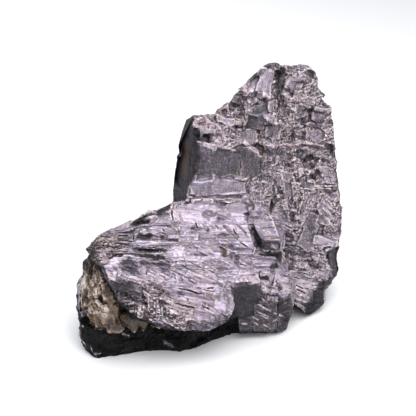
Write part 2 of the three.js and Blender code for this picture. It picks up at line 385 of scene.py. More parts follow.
# Each grain is turned by yaw about the vertical, leans back from upright and rolls so that its ledges run
# down to the right. Its terraces are given along the ledge, up the face and out of it, in mm: how far their
# pattern runs, the cells that its straight edges keep to, then the whole height, the height of one step and
# how far the treads tilt. Pace is how much quicker the finish changes along the ledges than it would on the
# bench, ragged is how far the edges of its facets waver, and wander is how far its terraces do.
grains = {
    "slab": {
        "turn": (20, 15, 13),
        "pace": 3,
        "ragged": 2.2,
        "wander": 1.3,
        "terraces": [
            ((9, 6, 5), (3.2, 2.4, 2), 1.3, 0.4, 0.18),
            ((2.6, 2, 2), (1.2, 0.9, 0.9), 0.55, 0.2, 0.12),
        ],
    },
    "seat": {
        "turn": (23, 56, 12),
        "pace": 1,
        "ragged": 0.3,
        "wander": 0.8,
        "terraces": [
            ((20, 3.2, 3), (6, 1.1, 0.8), 0.9, 0.3, 0.05),
            ((10, 1.1, 1), (3, 0.5, 0.5), 0.5, 0.18, 0),
        ],
    },
    "slope": {
        "turn": (17, 27, 34),
        "pace": 1,
        "ragged": 0.3,
        "wander": 1.2,
        "terraces": [
            ((14, 3, 3), (4, 0.9, 0.8), 1.1, 0.3, 0.06),
            ((7, 1, 1), (2.4, 0.5, 0.5), 0.6, 0.2, 0),
        ],
    },
    "block": {
        "turn": (17, -3, 32),
        "pace": 1.4,
        "ragged": 0.3,
        "wander": 1,
        "terraces": [
            ((9, 3, 3), (2.5, 1, 0.8), 0.9, 0.3, 0.08),
            ((3, 1.2, 1), (1.2, 0.6, 0.5), 0.5, 0.2, 0),
        ],
    },
    "flank": {
        "turn": (38, 30, 24),
        "pace": 1,
        "ragged": 0.3,
        "wander": 1,
        "terraces": [
            ((10, 2.4, 2), (3, 0.9, 0.8), 1.3, 0.4, 0.1),
            ((4, 1, 1), (1.6, 0.5, 0.5), 0.6, 0.2, 0),
        ],
    },
    "foot": {
        "turn": (10, -10, 0),
        "pace": 2.2,
        "ragged": 1,
        "wander": 2,
        "terraces": [
            ((8, 5, 4), (2.2, 1.6, 1.2), 1.6, 0.45, 0.2),
            ((2.2, 1.7, 1.5), (0.9, 0.8, 0.6), 0.7, 0.25, 0.1),
        ],
    },
}
# where one grain ends and the next begins, in mm
borders = {
    "slabPoint": (-5.7, 4, 40.4),  # on the slab's front face
    "beforeSlab": 0.8,  # the bench begins so far out from that face
    "slabLeft": -12,  # all that lies further left counts as before the slab
    "benchX": (-12, 8, 15, 19, 23, 27, 32),
    "benchTop": (42, 39.5, 37, 35.5, 34, 27, 16),
    "blockX": (8, 27),
    "blockTop": 23,
    "blockFacing": (0.29, -0.95, 0),
    "blockShare": 0.6,
    "flankLeft": 26,
    "flankTop": 21,
    "flankBehind": -1,
    "footTop": 11.5,
    "footWaver": (4, 6, 3),  # how far its top wavers, how broadly, and the seed
    "footSole": 3,
    "footRight": 9,
    "eased": 8,  # rounds
}


def grainAxes(yaw, lean, roll):
    # rows: along the ledge, up the face, out of it
    turn = (
        Matrix.Rotation(math.radians(yaw), 3, "Z")
        @ Matrix.Rotation(math.radians(90 - lean), 3, "X")
        @ Matrix.Rotation(math.radians(-roll), 3, "Z")
    )
    return np.array(turn.transposed())


def outwardOf(name):
    return grainAxes(*grains[name]["turn"])[2]


def grainShares(links, points, normals):
    # how far each point belongs to each grain, with the borders eased
    x, _, z = points.T
    before = (points - borders["slabPoint"]) @ outwardOf("slab")
    # the bench lies in front of the slab and below the line where the two meet
    front = (before > borders["beforeSlab"]) | (x < borders["slabLeft"])
    front &= z < np.interp(x, borders["benchX"], borders["benchTop"])
    waver, size, seed = borders["footWaver"]
    low = z < borders["footTop"] + waver * (softNoise(points, size, seed) - 0.5)
    names = np.full(len(points), "slab", dtype=object)
    flank = (x > borders["flankLeft"]) & (z < borders["flankTop"]) & (before > borders["flankBehind"])
    names[flank] = "flank"
    left, right = borders["blockX"]
    block = front & (x > left) & (x < right) & (z < borders["blockTop"])
    names[block & (normals @ borders["blockFacing"] > borders["blockShare"])] = "block"
    names[low & (front | (z < borders["footSole"])) & (x < borders["footRight"])] = "foot"
    bench = front & (names == "slab")
    upward = normals @ outwardOf("seat") >= normals @ outwardOf("slope")
    names[bench & upward] = "seat"
    names[bench & ~upward] = "slope"
    shares = np.stack([(names == name).astype(float) for name in grains], axis=1)
    return evened(links, shares, borders["eased"])


# cleavage terraces

stepping = {
    "facingPower": 6,  # how sharply a face belongs to one of the grain's three directions
    "wanderSize": 4,  # mm
    "edgeEase": 0.16,  # of a cell
    "riseEase": 0.2,  # of a step
    "outward": 0.15,  # how quickly the pattern changes outwards
    "broadAndFine": (0.7, 0.3),  # the shares of the two sizes of pattern
    "level": 0.6,
    # how far apart the seeds of the parts lie
    "heightSeed": 20,
    "tiltSeed": 40,
    "chipSeed": 50,
    "nextSeed": 100,
}


def stair(value, ease):
    # whole steps, each eased over the middle of its tread
    whole = np.floor(value)
    return whole + smoothStep(0.5 - ease, 0.5 + ease, value - whole)


def terraced(points, normals, axes, terraces, wandering, seed):
    # how far the cleavage steps move each point, in mm
    local = points @ axes.T
    facing = normals @ axes.T
    weights = np.abs(facing) ** stepping["facingPower"]
    weights /= weights.sum(axis=1, keepdims=True)
    moved = np.zeros_like(local)
    for run, cell, height, step, tilt in terraces:
        run, cell = np.array(run), np.array(cell)
        wander = [softNoise(points, stepping["wanderSize"], seed + k) - 0.5 for k in range(3)]
        place = (local + np.stack(wander, axis=1) * cell * wandering) / cell
        held = stair(place, stepping["edgeEase"]) * cell
        whole = np.floor(place + 0.5)
        leans = [scatter(whole, seed + stepping["tiltSeed"] + k) - 0.5 for k in range(3)]
        slip = (place - whole) * cell * (np.stack(leans, axis=1) * 2 * tilt)
        for axis in range(3):
            place = held.copy()
            place[:, axis] = local[:, axis] * stepping["outward"]
            heightSeed = seed + stepping["heightSeed"]
            broad = softNoise(place / run, 1, heightSeed) * stepping["broadAndFine"][0]
            fine = softNoise(place / run, 0.5, heightSeed + 1) * stepping["broadAndFine"][1]
            rise = (broad + fine - stepping["level"]) * height * 2 / step
            rise = stair(rise, stepping["riseEase"]) * step + slip.sum(axis=1) - slip[:, axis]
            moved[:, axis] += rise * weights[:, axis] * np.sign(facing[:, axis])
        seed += stepping["nextSeed"]
    return moved @ axes


# marks cut along given lines

# width, depth, how fresh the metal is in it (low in grooves and pits: painted shade; high on ridges:
# painted highlight), and the places in the view that it runs through
grooves = {
    "seat": [
        (2.1, 0.5, 0.2, [(134, 235), (146, 236.5), (160, 239)]),
        (1.3, 0.4, 0.27, [(160, 238), (169, 239), (180, 240)]),
        (1.1, 0.6, 0.12, [(137, 249.5), (148, 250), (161, 250.3)]),
        (1.7, 0.6, 0.12, [(137, 254.5), (150, 255.5), (167, 259)]),
        (0.7, 0.4, 0.2, [(108.8, 250.9), (118, 251), (129, 252)]),
        (0.6, 0.4, 0.2, [(130.6, 256.3), (139, 256.5)]),
        (1, 0.6, 0.15, [(117, 234.5), (129, 235)]),
        (0.8, 0.5, 0.15, [(99, 235.7), (110, 235)]),
        (0.4, 0.5, 0.2, [(171.8, 207.3), (172, 214), (173.5, 220.6)]),
        (0.4, 0.4, 0.2, [(162, 226.6), (165.7, 231.5)]),
        (0.4, 0.5, 0.15, [(195, 221), (196, 224), (199.6, 231.5)]),
        (0.4, 0.4, 0.3, [(219.6, 229), (226.3, 236.3)]),
        (0.45, 0.5, 0.15, [(232.4, 227.9), (236, 233), (239.6, 236.3)]),
        (0.45, 0.5, 0.15, [(240, 241), (244, 243.5), (249.3, 247.3)]),
        (0.4, 0.4, 0.2, [(220, 240), (228.7, 241.8), (236, 248.5)]),
        (0.45, 0.6, 0.08, [(231, 255), (236, 259.4), (240.8, 264.2), (255.4, 267.9)]),
        (0.35, 0.3, 0.3, [(213, 237), (220, 243)]),
        (0.35, 0.3, 0.3, [(206, 218), (214, 224), (219, 229)]),
        (1.3, 0.6, 0.12, [(107, 258.5), (116, 256), (124, 254)]),
        (1, 0.5, 0.2, [(118, 253), (128, 253.5), (140, 254)]),
        (0.4, 0.4, 0.25, [(133, 218), (133.5, 228), (134, 240)]),
        (0.6, 0.4, 0.25, [(112, 243), (124, 243.5), (134, 244.5)]),
        (0.6, 0.4, 0.25, [(100, 246), (110, 246.5), (120, 247)]),
        (0.6, 0.45, 0.15, [(118, 240), (126, 240.5), (133, 241)]),
        (0.5, 0.4, 0.2, [(142, 246), (149, 246.5), (157, 248)]),
    ],
    "slope": [
        (0.6, 0.6, 0.1, [(177.8, 287.9), (184, 289.5), (191, 291), (198.4, 294), (209.3, 293.5)]),
        (0.5, 0.5, 0.15, [(202, 282.4), (207, 288), (215.4, 287.2)]),
        (0.7, 0.6, 0.1, [(174.2, 303.6), (183.9, 306), (196, 308.5)]),
        (0.5, 0.4, 0.15, [(186.3, 298.2), (190, 300)]),
        (0.3, 0.2, 0.45, [(181, 264), (188, 268), (197, 272)]),
        (0.35, 0.22, 0.4, [(174, 270), (184, 276), (197, 282)]),
        (0.3, 0.2, 0.45, [(198, 268), (210, 273), (223, 278)]),
        (0.3, 0.2, 0.45, [(150, 271), (161, 276), (173, 281)]),
        (0.35, 0.3, 0.3, [(200, 299), (204, 308), (205, 314)]),
        (0.4, 0.4, 0.2, [(209, 313), (217, 318)]),
        (0.3, 0.18, 0.5, [(158, 265), (171, 270), (184, 276)]),
        (0.3, 0.18, 0.5, [(190, 262), (204, 268), (219, 274)]),
        (0.4, 0.4, 0.2, [(196, 287), (206, 290), (216, 292)]),
        (0.4, 0.4, 0.15, [(186, 300), (198, 305), (210, 309)]),
        (0.5, 0.5, 0.12, [(160, 303), (170, 307), (180, 310)]),
        (0.4, 0.35, 0.2, [(146, 262), (147, 270), (146, 277)]),
    ],
    "slab": [
        (0.7, 0.6, 0.1, [(288, 73), (286, 77)]),
        (0.5, 0.5, 0.2, [(275, 100), (276, 108), (277, 112)]),
        (0.9, 0.6, 0.15, [(245.5, 108), (245.5, 118), (244, 128)]),
        (0.35, 0.3, 0.22, [(241.5, 158), (240, 163), (240.6, 167), (238.5, 171), (239, 177)]),
        (0.35, 0.35, 0.2, [(238, 180.5), (242, 181.8), (246.3, 181)]),
        (1, 0.7, 0.15, [(273.6, 184), (273, 194), (271.5, 204), (271.2, 213.5)]),
        (1, 0.6, 0.12, [(289, 195), (287.5, 203.8)]),
        (0.5, 0.5, 0.12, [(300, 180), (304, 170), (306, 160)]),
        (0.5, 0.35, 0.2, [(282, 224), (287, 226), (292, 228.5)]),
        (0.4, 0.5, 0.15, [(300, 212), (297, 208), (292, 204)]),
        (0.8, 0.7, 0.1, [(322, 249), (330, 247), (338, 249)]),
        (
            0.6, 0.4, 0.22,
            [(247.4, 209), (246.5, 216), (247.5, 222), (251.7, 228), (256, 236), (262, 244)],
        ),
        (1.8, 0.5, 0.05, [(264, 255.5), (272, 255.5), (280, 255.5)]),
        (0.6, 0.6, 0.1, [(272, 251), (265, 254), (258, 253)]),
        (0.6, 0.6, 0.15, [(246, 254), (254, 257), (262, 258)]),
        (0.6, 0.7, 0.08, [(255.3, 263), (260, 271.6), (260.6, 278.3), (264.9, 286.9)]),
        (0.5, 0.6, 0.12, [(276.4, 272.5), (274.5, 280), (272.5, 286)]),
        (0.35, 0.35, 0.25, [(240, 268.5), (250, 269.5), (257, 272)]),
        (0.35, 0.35, 0.25, [(240, 274.5), (250, 275), (258, 277)]),
        (0.3, 0.25, 0.3, [(217.5, 196), (217.2, 201), (217.5, 206)]),
        (0.3, 0.25, 0.3, [(222, 206.5), (232, 206.8), (244, 206)]),
        (0.3, 0.3, 0.15, [(326, 200), (329, 203), (332, 206)]),
        (0.3, 0.3, 0.15, [(330, 210), (334, 214), (337, 217)]),
    ],
    "block": [
        (0.6, 0.5, 0.02, [(236, 327), (246, 328)]),
        (0.5, 0.4, 0.03, [(257, 298.5), (262, 300.5), (268, 301.5)]),
        (0.5, 0.4, 0.03, [(262, 305.5), (268, 306.5)]),
    ],
    "flank": [
        (0.3, 0.3, 0.12, [(293.2, 277.1), (297, 277.6), (301.4, 279.6)]),
        (0.3, 0.3, 0.12, [(300.7, 282.1), (303, 282.6), (306.4, 284.6)]),
        (0.5, 0.35, 0.12, [(295.7, 284.6), (300, 286.6), (304.3, 289.3)]),
        (0.3, 0.3, 0.15, [(305, 287.1), (310, 289.3)]),
        (0.5, 0.4, 0.1, [(297.1, 289), (301, 290.5), (306.4, 293.5)]),
        (0.4, 0.3, 0.15, [(292.9, 291.9), (298.6, 296.2)]),
        (0.4, 0.3, 0.1, [(301.4, 295.5), (305, 299)]),
        (0.4, 0.3, 0.15, [(293.6, 298.6), (298.6, 301.6)]),
        (0.3, 0.25, 0.2, [(304, 276.5), (309, 278.5), (313, 279)]),
        (0.3, 0.25, 0.25, [(289, 286), (293, 288.5)]),
        (0.3, 0.25, 0.25, [(290.5, 266.5), (300, 268.3), (309, 270.4)]),
        (0.3, 0.25, 0.25, [(296, 271.8), (304, 273), (312, 275.5)]),
    ],
}
ridges = {
    "seat": [
        (0.4, 0.25, 1.1, [(135, 241.3), (148, 241.5), (162, 242)]),
        (0.4, 0.25, 1.1, [(141, 252.3), (152, 252), (164, 253)]),
        (0.4, 0.25, 1.1, [(139, 245.5), (147, 245), (152, 243.5), (160, 244)]),
        (0.35, 0.25, 1.05, [(108, 257), (120, 256), (135, 257.5), (150, 261)]),
        (0.35, 0.25, 1, [(96, 240), (106, 239.5), (118, 240)]),
        (0.5, 0.35, 0.9, [(143, 222.5), (150, 219), (156, 216)]),
    ],
    "slope": [
        (0.6, 0.4, 1.1, [(150, 281), (155, 280.5)]),
        (0.5, 0.3, 1.1, [(142.7, 264), (145, 278.8)]),
        (0.5, 0.3, 1.05, [(175.4, 267.9), (177.8, 283.6)]),
        (0.4, 0.25, 1.1, [(133, 276), (141, 266)]),
        (0.5, 0.4, 1.1, [(208, 311), (216, 314)]),
        (0.3, 0.2, 1.05, [(148, 268), (160, 273), (170, 279)]),
        (0.3, 0.2, 1.05, [(182, 268), (194, 275), (206, 281)]),
        (0.3, 0.2, 1.05, [(208, 272), (220, 279), (227, 285)]),
        (0.4, 0.25, 1.05, [(183, 296), (195, 301), (205, 306)]),
        (0.4, 0.25, 1.05, [(168, 296), (178, 300), (186, 305)]),
    ],
    "rim": [
        (0.5, 0.4, 1, [(146, 303), (150, 301)]),
        (0.5, 0.4, 1, [(128, 305), (135, 303)]),
    ],
    "slab": [
        (0.6, 0.6, 1.2, [(252, 100.4), (258, 102), (264, 104.2)]),
        (0.6, 0.6, 1.2, [(261, 95), (266, 97), (270.3, 99.6)]),
        (0.5, 0.5, 1.1, [(243, 90), (248, 95)]),
        (0.6, 0.5, 1.15, [(201.4, 144.5), (206, 145.5), (210.6, 147.8), (217, 150)]),
        (0.5, 0.4, 1.15, [(227.4, 122.6), (230, 127), (233.6, 129.5), (242.7, 130.5)]),
        (0.6, 0.6, 1.2, [(267.2, 115.7), (274, 118), (280, 123), (285.6, 128)]),
        (0.6, 0.5, 1.2, [(261.5, 142), (270, 145), (274.5, 149.5)]),
        (0.6, 0.5, 1.2, [(243, 142), (251, 146), (256, 150)]),
        (0.6, 0.6, 1.2, [(304.8, 143), (314, 145), (325.4, 147.9)]),
        (0.3, 0.25, 1.05, [(235, 179.3), (242, 179.6), (248, 178.6)]),
        (0.5, 0.5, 1.15, [(293, 177), (300, 186)]),
        (0.5, 0.5, 1.1, [(313, 186), (322, 190), (326, 196)]),
        (0.5, 0.5, 1.1, [(301, 146), (303, 140)]),
        (0.4, 0.4, 1.1, [(305, 194), (316, 192), (324, 195)]),
        (1.1, 0.4, 1.1, [(312, 206), (306, 213), (300, 221)]),
        (0.4, 0.4, 1.1, [(323, 203), (330, 208), (336, 214)]),
        (0.4, 0.4, 1.1, [(322, 208), (329, 214), (335, 220)]),
        (0.35, 0.4, 1.15, [(263, 240.8), (272, 240), (281, 239.8)]),
        (0.35, 0.4, 1.15, [(271, 252.4), (280, 252.4)]),
        (0.5, 0.5, 1.15, [(261, 273.8), (270.6, 273.8)]),
        (0.5, 0.4, 1.15, [(243, 281.5), (252, 282), (259, 283)]),
        (0.35, 0.3, 1.15, [(263, 276.2), (270, 276)]),
        (0.35, 0.35, 1.15, [(270, 247.6), (280, 247.2)]),
        (0.3, 0.25, 1.1, [(196, 141), (208, 144.5), (222, 147), (238, 151.5)]),
        (0.25, 0.2, 0.95, [(213, 173), (213.5, 179), (211, 184)]),
        (0.25, 0.2, 0.95, [(192, 182.5), (202, 183.5), (212, 181)]),
        (0.3, 0.25, 1.1, [(245, 146), (253, 151), (262, 157)]),
        (0.3, 0.25, 1.1, [(260, 139), (268, 143), (275, 150)]),
        (0.25, 0.2, 1, [(218, 195.6), (232, 194), (246, 192.5)]),
        (0.25, 0.22, 1.05, [(326, 186), (332, 191), (338, 196)]),
        (0.25, 0.22, 1.05, [(320, 214), (327, 219), (334, 226)]),
        (0.25, 0.22, 1, [(328, 222), (333, 227), (337, 232)]),
        (0.25, 0.22, 1.1, [(284, 99), (291, 104), (297, 106)]),
        (0.25, 0.22, 1.1, [(294, 94), (302, 99), (308, 97)]),
        (0.25, 0.22, 1.1, [(288, 112), (295, 117), (301, 119)]),
        (0.25, 0.22, 1.1, [(306, 121), (311, 126), (318, 128)]),
        (0.25, 0.22, 1.1, [(283, 150), (290, 154), (297, 155)]),
        (0.25, 0.22, 1.1, [(276, 168), (284, 172), (292, 174)]),
        (0.25, 0.22, 1.1, [(284, 160), (290, 163), (296, 168)]),
        (0.25, 0.22, 1.1, [(252, 180), (260, 183), (268, 182)]),
        (0.25, 0.22, 1.1, [(250, 190), (258, 192), (266, 196)]),
        (0.25, 0.22, 1.1, [(274, 64), (282, 66), (288, 71)]),
        (0.25, 0.22, 1.05, [(284, 71), (291, 75), (297, 78)]),
    ],
    "block": [
        (0.35, 0.2, 0.95, [(231, 282.2), (245, 282), (259, 282.3)]),
        (0.3, 0.25, 0.75, [(240, 323.5), (248, 324.5)]),
        (0.2, 0.2, 0.75, [(251.5, 316.5), (259, 321.3)]),
        (0.2, 0.2, 0.75, [(257, 314.5), (268, 319)]),
        (0.2, 0.2, 0.7, [(261, 307.5), (268.5, 310.5)]),
        (0.2, 0.2, 0.75, [(256, 311), (262, 313.6), (269, 317)]),
        (0.2, 0.2, 0.7, [(258, 304), (265, 308.5), (271, 312)]),
        (0.2, 0.2, 0.65, [(250, 319.5), (258, 325)]),
        (0.2, 0.2, 0.6, [(262, 323), (270, 328)]),
        (0.2, 0.18, 0.55, [(272, 312), (281, 316)]),
        (0.2, 0.18, 0.5, [(272, 321), (279, 317)]),
        (0.2, 0.2, 0.6, [(262, 299.5), (268, 303.5)]),
        (0.25, 0.2, 0.75, [(280, 300), (285, 303), (288, 306.5)]),
    ],
    "flank": [
        (0.35, 0.25, 1.15, [(296, 287), (301, 289), (307, 291.5)]),
        (0.35, 0.25, 1.15, [(300, 294), (305, 297.5)]),
        (0.35, 0.25, 1.1, [(303, 280.6), (309, 282.6)]),
        (0.3, 0.2, 1.1, [(308, 285.6), (312, 286.6)]),
        (0.4, 0.3, 1.2, [(291, 303), (296, 304.6), (299, 306.8)]),
        (0.3, 0.2, 1.05, [(312, 276.6), (318, 278.6), (323, 280.6)]),
    ],
}
pits = {
    "seat": [
        (1.35, 0.4, 0.2, [(145, 213), (155, 214)]),
        (0.85, 0.3, 0.22, [(142, 221.5), (148.5, 222)]),
        (0.75, 0.45, 0.3, [(222, 248), (224.5, 252), (224.5, 256)]),
        (1.35, 0.3, 0.3, [(234, 253), (238, 258)]),
        (1.2, 0.4, 0.05, [(140, 219), (143, 217)]),
        (1.4, 0.5, 0.05, [(149, 213), (153, 211)]),
    ],
    "slope": [
        (0.75, 0.4, 0.24, [(156, 293.5), (163, 291)]),
    ],
    "rim": [
        (1.25, 0.45, 0.27, [(131, 308), (137, 310)]),
        (1, 0.4, 0.24, [(147, 314), (152, 318)]),
        (0.85, 0.35, 0.24, [(122, 298), (127, 302)]),
        (0.85, 0.35, 0.27, [(160, 301), (163, 305)]),
        (1, 0.4, 0.24, [(166, 315), (173, 317)]),
        (0.75, 0.3, 0.27, [(140, 300), (144, 303)]),
    ],
    "slab": [
        (0.7, 0.45, 0.2, [(232.8, 108), (233, 108.5)]),
        (1, 0.45, 0.22, [(268, 152), (271, 154)]),
        (1, 0.5, 0.22, [(312, 176), (314, 178)]),
        (0.95, 0.45, 0.24, [(299, 152), (303, 153)]),
        (0.95, 0.5, 0.2, [(315, 161.5), (321, 161.5)]),
        (1, 0.45, 0.24, [(327, 186), (332, 187)]),
        (0.85, 0.4, 0.27, [(305, 162), (306, 158)]),
        (1.1, 0.4, 0.27, [(292, 214), (295, 220)]),
        (0.6, 0.5, 0.17, [(295, 231.4), (295.5, 231.8)]),
        (1.85, 0.35, 0.3, [(313, 219), (311, 227)]),
        (1.45, 0.4, 0.3, [(297, 208), (301, 203)]),
        (1.25, 0.4, 0.27, [(283, 197), (279, 190)]),
        (1.7, 0.35, 0.22, [(332, 255), (331, 268)]),
        (1.55, 0.35, 0.24, [(312, 262), (322, 268)]),
        (1, 0.35, 0.22, [(264, 246), (270, 246.5), (279, 246)]),
        (0.95, 0.5, 0.18, [(273.5, 266), (278, 265)]),
        (0.9, 0.35, 0.12, [(263.5, 280), (267, 279)]),
    ],
}
carved = {"grooves": grooves, "ridges": ridges, "pits": pits}
cutting = {
    # how far a mark reaches and how far its edges waver, both of its width
    "reach": {"grooves": 1.3, "ridges": 4, "pits": 1.3},
    "ragged": {"grooves": 0.35, "ridges": 0.8, "pits": 0.8},
    "raggedSize": 1.1,  # mm
    "taper": 0.6,  # how far from its end a mark is whole: of its width, and at least so many mm
    "grooveEnd": 0.25,  # how wide a groove still is at its ends
    "sunkenEdge": (0.45, 1.05),
    # a ridge falls off slowly above and quickly below
    "upward": (0, 0.35, 1),
    "fallAbove": (0, 3.2),
    "fallBelow": (0.1, 0.9),
    "ridgeEdge": (0.4, 1.1),
}


def ridgeBody(offset, worn):
    # a sharp lower lip with a long slope above it
    above = offset @ np.array(cutting["upward"]) > 0
    slow = 1 - smoothStep(*cutting["fallAbove"], worn)
    return np.where(above, slow, 1 - smoothStep(*cutting["fallBelow"], worn))


def sunkenBody(kind, width, worn, taper):
    # a groove narrows towards its ends, and a pit doesn't
    half = width
    if kind == "grooves":
        half = width / 2 * (cutting["grooveEnd"] + (1 - cutting["grooveEnd"]) * taper)
    return 1 - smoothStep(*cutting["sunkenEdge"], worn / half)


def carve(points, normals, freshAndPaintedLight, seed):
    # grooves and pits sink, ridges stand up; each leaves its own freshness, which darkens grooves and pits as
    # painted shade and lightens ridges as painted highlight
    moved = np.zeros(len(points))
    ragged = softNoise(points, cutting["raggedSize"], seed) - 0.5
    for kind, parts in carved.items():
        for width, depth, value, line in itertools.chain(*parts.values()):
            reach = width * cutting["reach"][kind]
            chosen, distance, end, offset = nearLine(points, onSolid(line), reach)
            tapering = max(cutting["taper"], width * cutting["taper"])
            taper = 1 if kind == "pits" else smoothStep(0, tapering, end)
            worn = distance + ragged[chosen] * width * cutting["ragged"][kind]
            if kind == "ridges":
                moved[chosen] += depth * ridgeBody(offset, worn / width) * taper
                weight = (1 - smoothStep(*cutting["ridgeEdge"], worn / width)) * taper
            else:
                body = sunkenBody(kind, width, worn, taper)
                moved[chosen] -= depth * body * taper
                weight = body * taper
            freshAndPaintedLight[chosen] += (value - freshAndPaintedLight[chosen]) * weight
    return normals * moved[:, None]


# flat facets

# grain, roll, the corners of the box in the view that it fills, how far its face leans up and sideways,
# how deep it is sunk, how fresh and how rough it is; the freshness paints light and shade: bright facets are
# painted highlight and dark ones painted shade
flats = {
    "tallFacet": ("slab", 22, (257, 70), (273, 95), (0.06, -0.08), -0.2, 0.56, 0.35),
    "leftOfTheTallFacet": ("slab", 26, (249, 76), (257, 94), (0, 0.15), 0.2, 0.3, 0.35),
    "crackRightOfIt": ("slab", 16, (277, 69), (283, 96), (0, 0.3), 0.7, 0.2, 0.4),
    "crest": ("slab", 14, (298, 64), (311, 70), (0.25, 0), -0.4, 0.75, 0.4),
    "belowTheCrest": ("slab", 18, (301, 71), (315, 76), (-0.1, 0), 0.4, 0.28, 0.4),
    "rightOfTheCrack": ("slab", 22, (286, 76), (302, 92), (0.03, 0), 0.1, 0.48, 0.4),
    "shoulder": ("slab", 5, (253, 104), (268, 117), (0, 0), 0.2, 0.33, 0.15),
    "darkShoulder": ("slab", 15, (247, 116), (265, 131), (-0.1, 0.05), 0.4, 0.22, 0.12),
    "rightOfTheShoulder": ("slab", 10, (269, 103), (279, 113), (0.05, 0), 0, 0.5, 0.4),
    "rightOfTheDarkShoulder": ("slab", 12, (266, 125), (283, 141), (-0.05, 0.05), 0.2, 0.32, 0.5),
    "belowTheDarkShoulder": ("slab", 8, (240, 129), (259, 142), (0, 0), 0.1, 0.4, 0.35),
    "aboveTheStain": ("slab", 10, (242, 147), (252, 158), (0, -0.05), 0.2, 0.32, 0.2),
    "brightChip": ("slab", 16, (257, 142), (273, 148), (0.15, 0), -0.3, 0.66, 0.5),
    "darkChip": ("slab", 10, (266, 150), (274, 163), (0, 0.15), 0.4, 0.22, 0.2),
    "panel": ("slab", 5, (197, 148), (262, 177), (0.02, 0), 0, 0.23, 0.35),
    "lowPanel": ("slab", 7, (189, 179), (247, 197), (0.02, 0), -0.05, 0.5, 0.2),
    "footOfTheSlabLeft": ("slab", 8, (273, 180), (281, 197), (0, 0.1), 0.3, 0.3, 0.3),
    "footOfTheSlabRight": ("slab", 6, (283, 182), (292, 198), (-0.05, -0.1), 0.1, 0.38, 0.35),
    "darkChipMiddle": ("slab", 12, (296, 149), (305, 159), (-0.15, 0), 0.5, 0.22, 0.4),
    "deepChipUpperRight": ("slab", 12, (312, 160), (321, 165), (-0.2, 0), 0.9, 0.08, 0.5),
    "deepChipRight": ("slab", 14, (308, 174), (315, 181), (0, 0), 0.7, 0.14, 0.5),
    "uprightBright": ("slab", 24, (297, 168), (304, 181), (0, -0.2), -0.2, 0.72, 0.3),
    "belowTheUpright": ("slab", 20, (301, 181), (313, 188), (0, 0.1), 0.3, 0.3, 0.35),
    "rightEdge": ("slab", 8, (322, 168), (331, 178), (0, -0.1), 0.3, 0.33, 0.3),
    "upperRight": ("slab", 18, (312, 107), (323, 122), (0.08, 0), -0.2, 0.52, 0.3),
    "upperMiddle": ("slab", 5, (297, 107), (308, 119), (0, 0.1), 0.1, 0.36, 0.4),
    "rightOfTheMiddle": ("slab", 18, (306, 131), (323, 141), (-0.05, 0), 0.2, 0.36, 0.4),
    "ledgeAtTheRight": ("slab", 18, (303, 142), (324, 146), (0.2, 0), -0.3, 0.72, 0.4),
    "leftShoulderLedge": ("slab", 12, (198, 127), (217, 134), (0.1, 0), -0.2, 0.72, 0.5),
    "leftShoulderNotch": ("slab", 20, (202, 137), (212, 142), (-0.3, 0), 0.9, 0.08, 0.5),
    "leftShoulderTop": ("slab", 14, (217, 117), (235, 124), (0.1, 0), -0.2, 0.6, 0.5),
    "bigFacetLowerRight": ("slab", 28, (302, 213), (316, 248), (0, 0.1), 0.1, 0.46, 0.2),
    "aboveTheBigFacet": ("slab", 25, (291, 205), (300, 214), (0, 0), 0.2, 0.33, 0.3),
    "rightOfTheBigFacet": ("slab", 20, (318, 206), (331, 224), (0, 0.1), 0.2, 0.28, 0.4),
    "junctionRight": ("slab", 4, (218, 197), (250, 205), (0.05, 0), 0, 0.46, 0.8),
    "junctionLeft": ("slab", 6, (190, 197), (216, 206), (0.1, 0), -0.1, 0.6, 0.3),
    "seatOverTheBlock": ("seat", 6, (250, 215), (276, 237), (0, 0), 0, 0.48, 0.15),
    "blockUpper": ("block", 6, (262, 242), (280, 251), (0, 0), 0.3, 0.17, 0.05),
    "blockLower": ("block", 4, (262, 252.5), (280, 258), (0, 0), 0, 0.22, 0.05),
    "frontBlockLeft": ("block", 2, (231, 283.5), (259, 318), (0, 0), 0, 0.13, 0.04),
    "frontBlockLow": ("block", 0, (254, 303), (277, 330), (0, 0.04), -0.05, 0.17, 0.5),
    "frontBlockSide": ("block", 3, (277, 299), (289, 311), (0, 0), -0.1, 0.09, 0.1),
    "frontBlockLowSide": ("block", 0, (277, 312), (288, 330), (0, 0), -0.1, 0.13, 0.6),
    "endOfTheFlank": ("flank", 12, (306, 290), (324, 311), (0, 0), 0.1, 0.06, 0.05),
    "endOfTheSlab": ("slab", 0, (327, 248), (339, 281), (0, 0), 0.1, 0.08, 0.1),
    "ledgeOverTheEnd": ("slab", 20, (315, 239), (338, 246), (0.2, 0), -0.2, 0.7, 0.4),
    "flank": ("flank", 20, (290, 271), (314, 300), (0, 0), 0, 0.46, 0.4),
    "seatBack": ("seat", 6, (226, 206), (252, 214), (0, 0), 0, 0.68, 0.25),
    "seatBackLeft": ("seat", 6, (184, 204), (202, 211), (0, 0), 0, 0.7, 0.25),
}
flatting = {
    "seed": 9,
    "near": (1.5, 1),  # of the half box, and mm more: only points as near as this are looked at
    "raggedMiddle": 0.4,
    "depth": 3,  # mm; how far in front of and behind its middle a facet still reaches
    "edge": (-0.1, 0.2),  # mm; the border over which it eases out
    "facing": (0.25, 0.55),  # only what looks the facet's way is cut
}


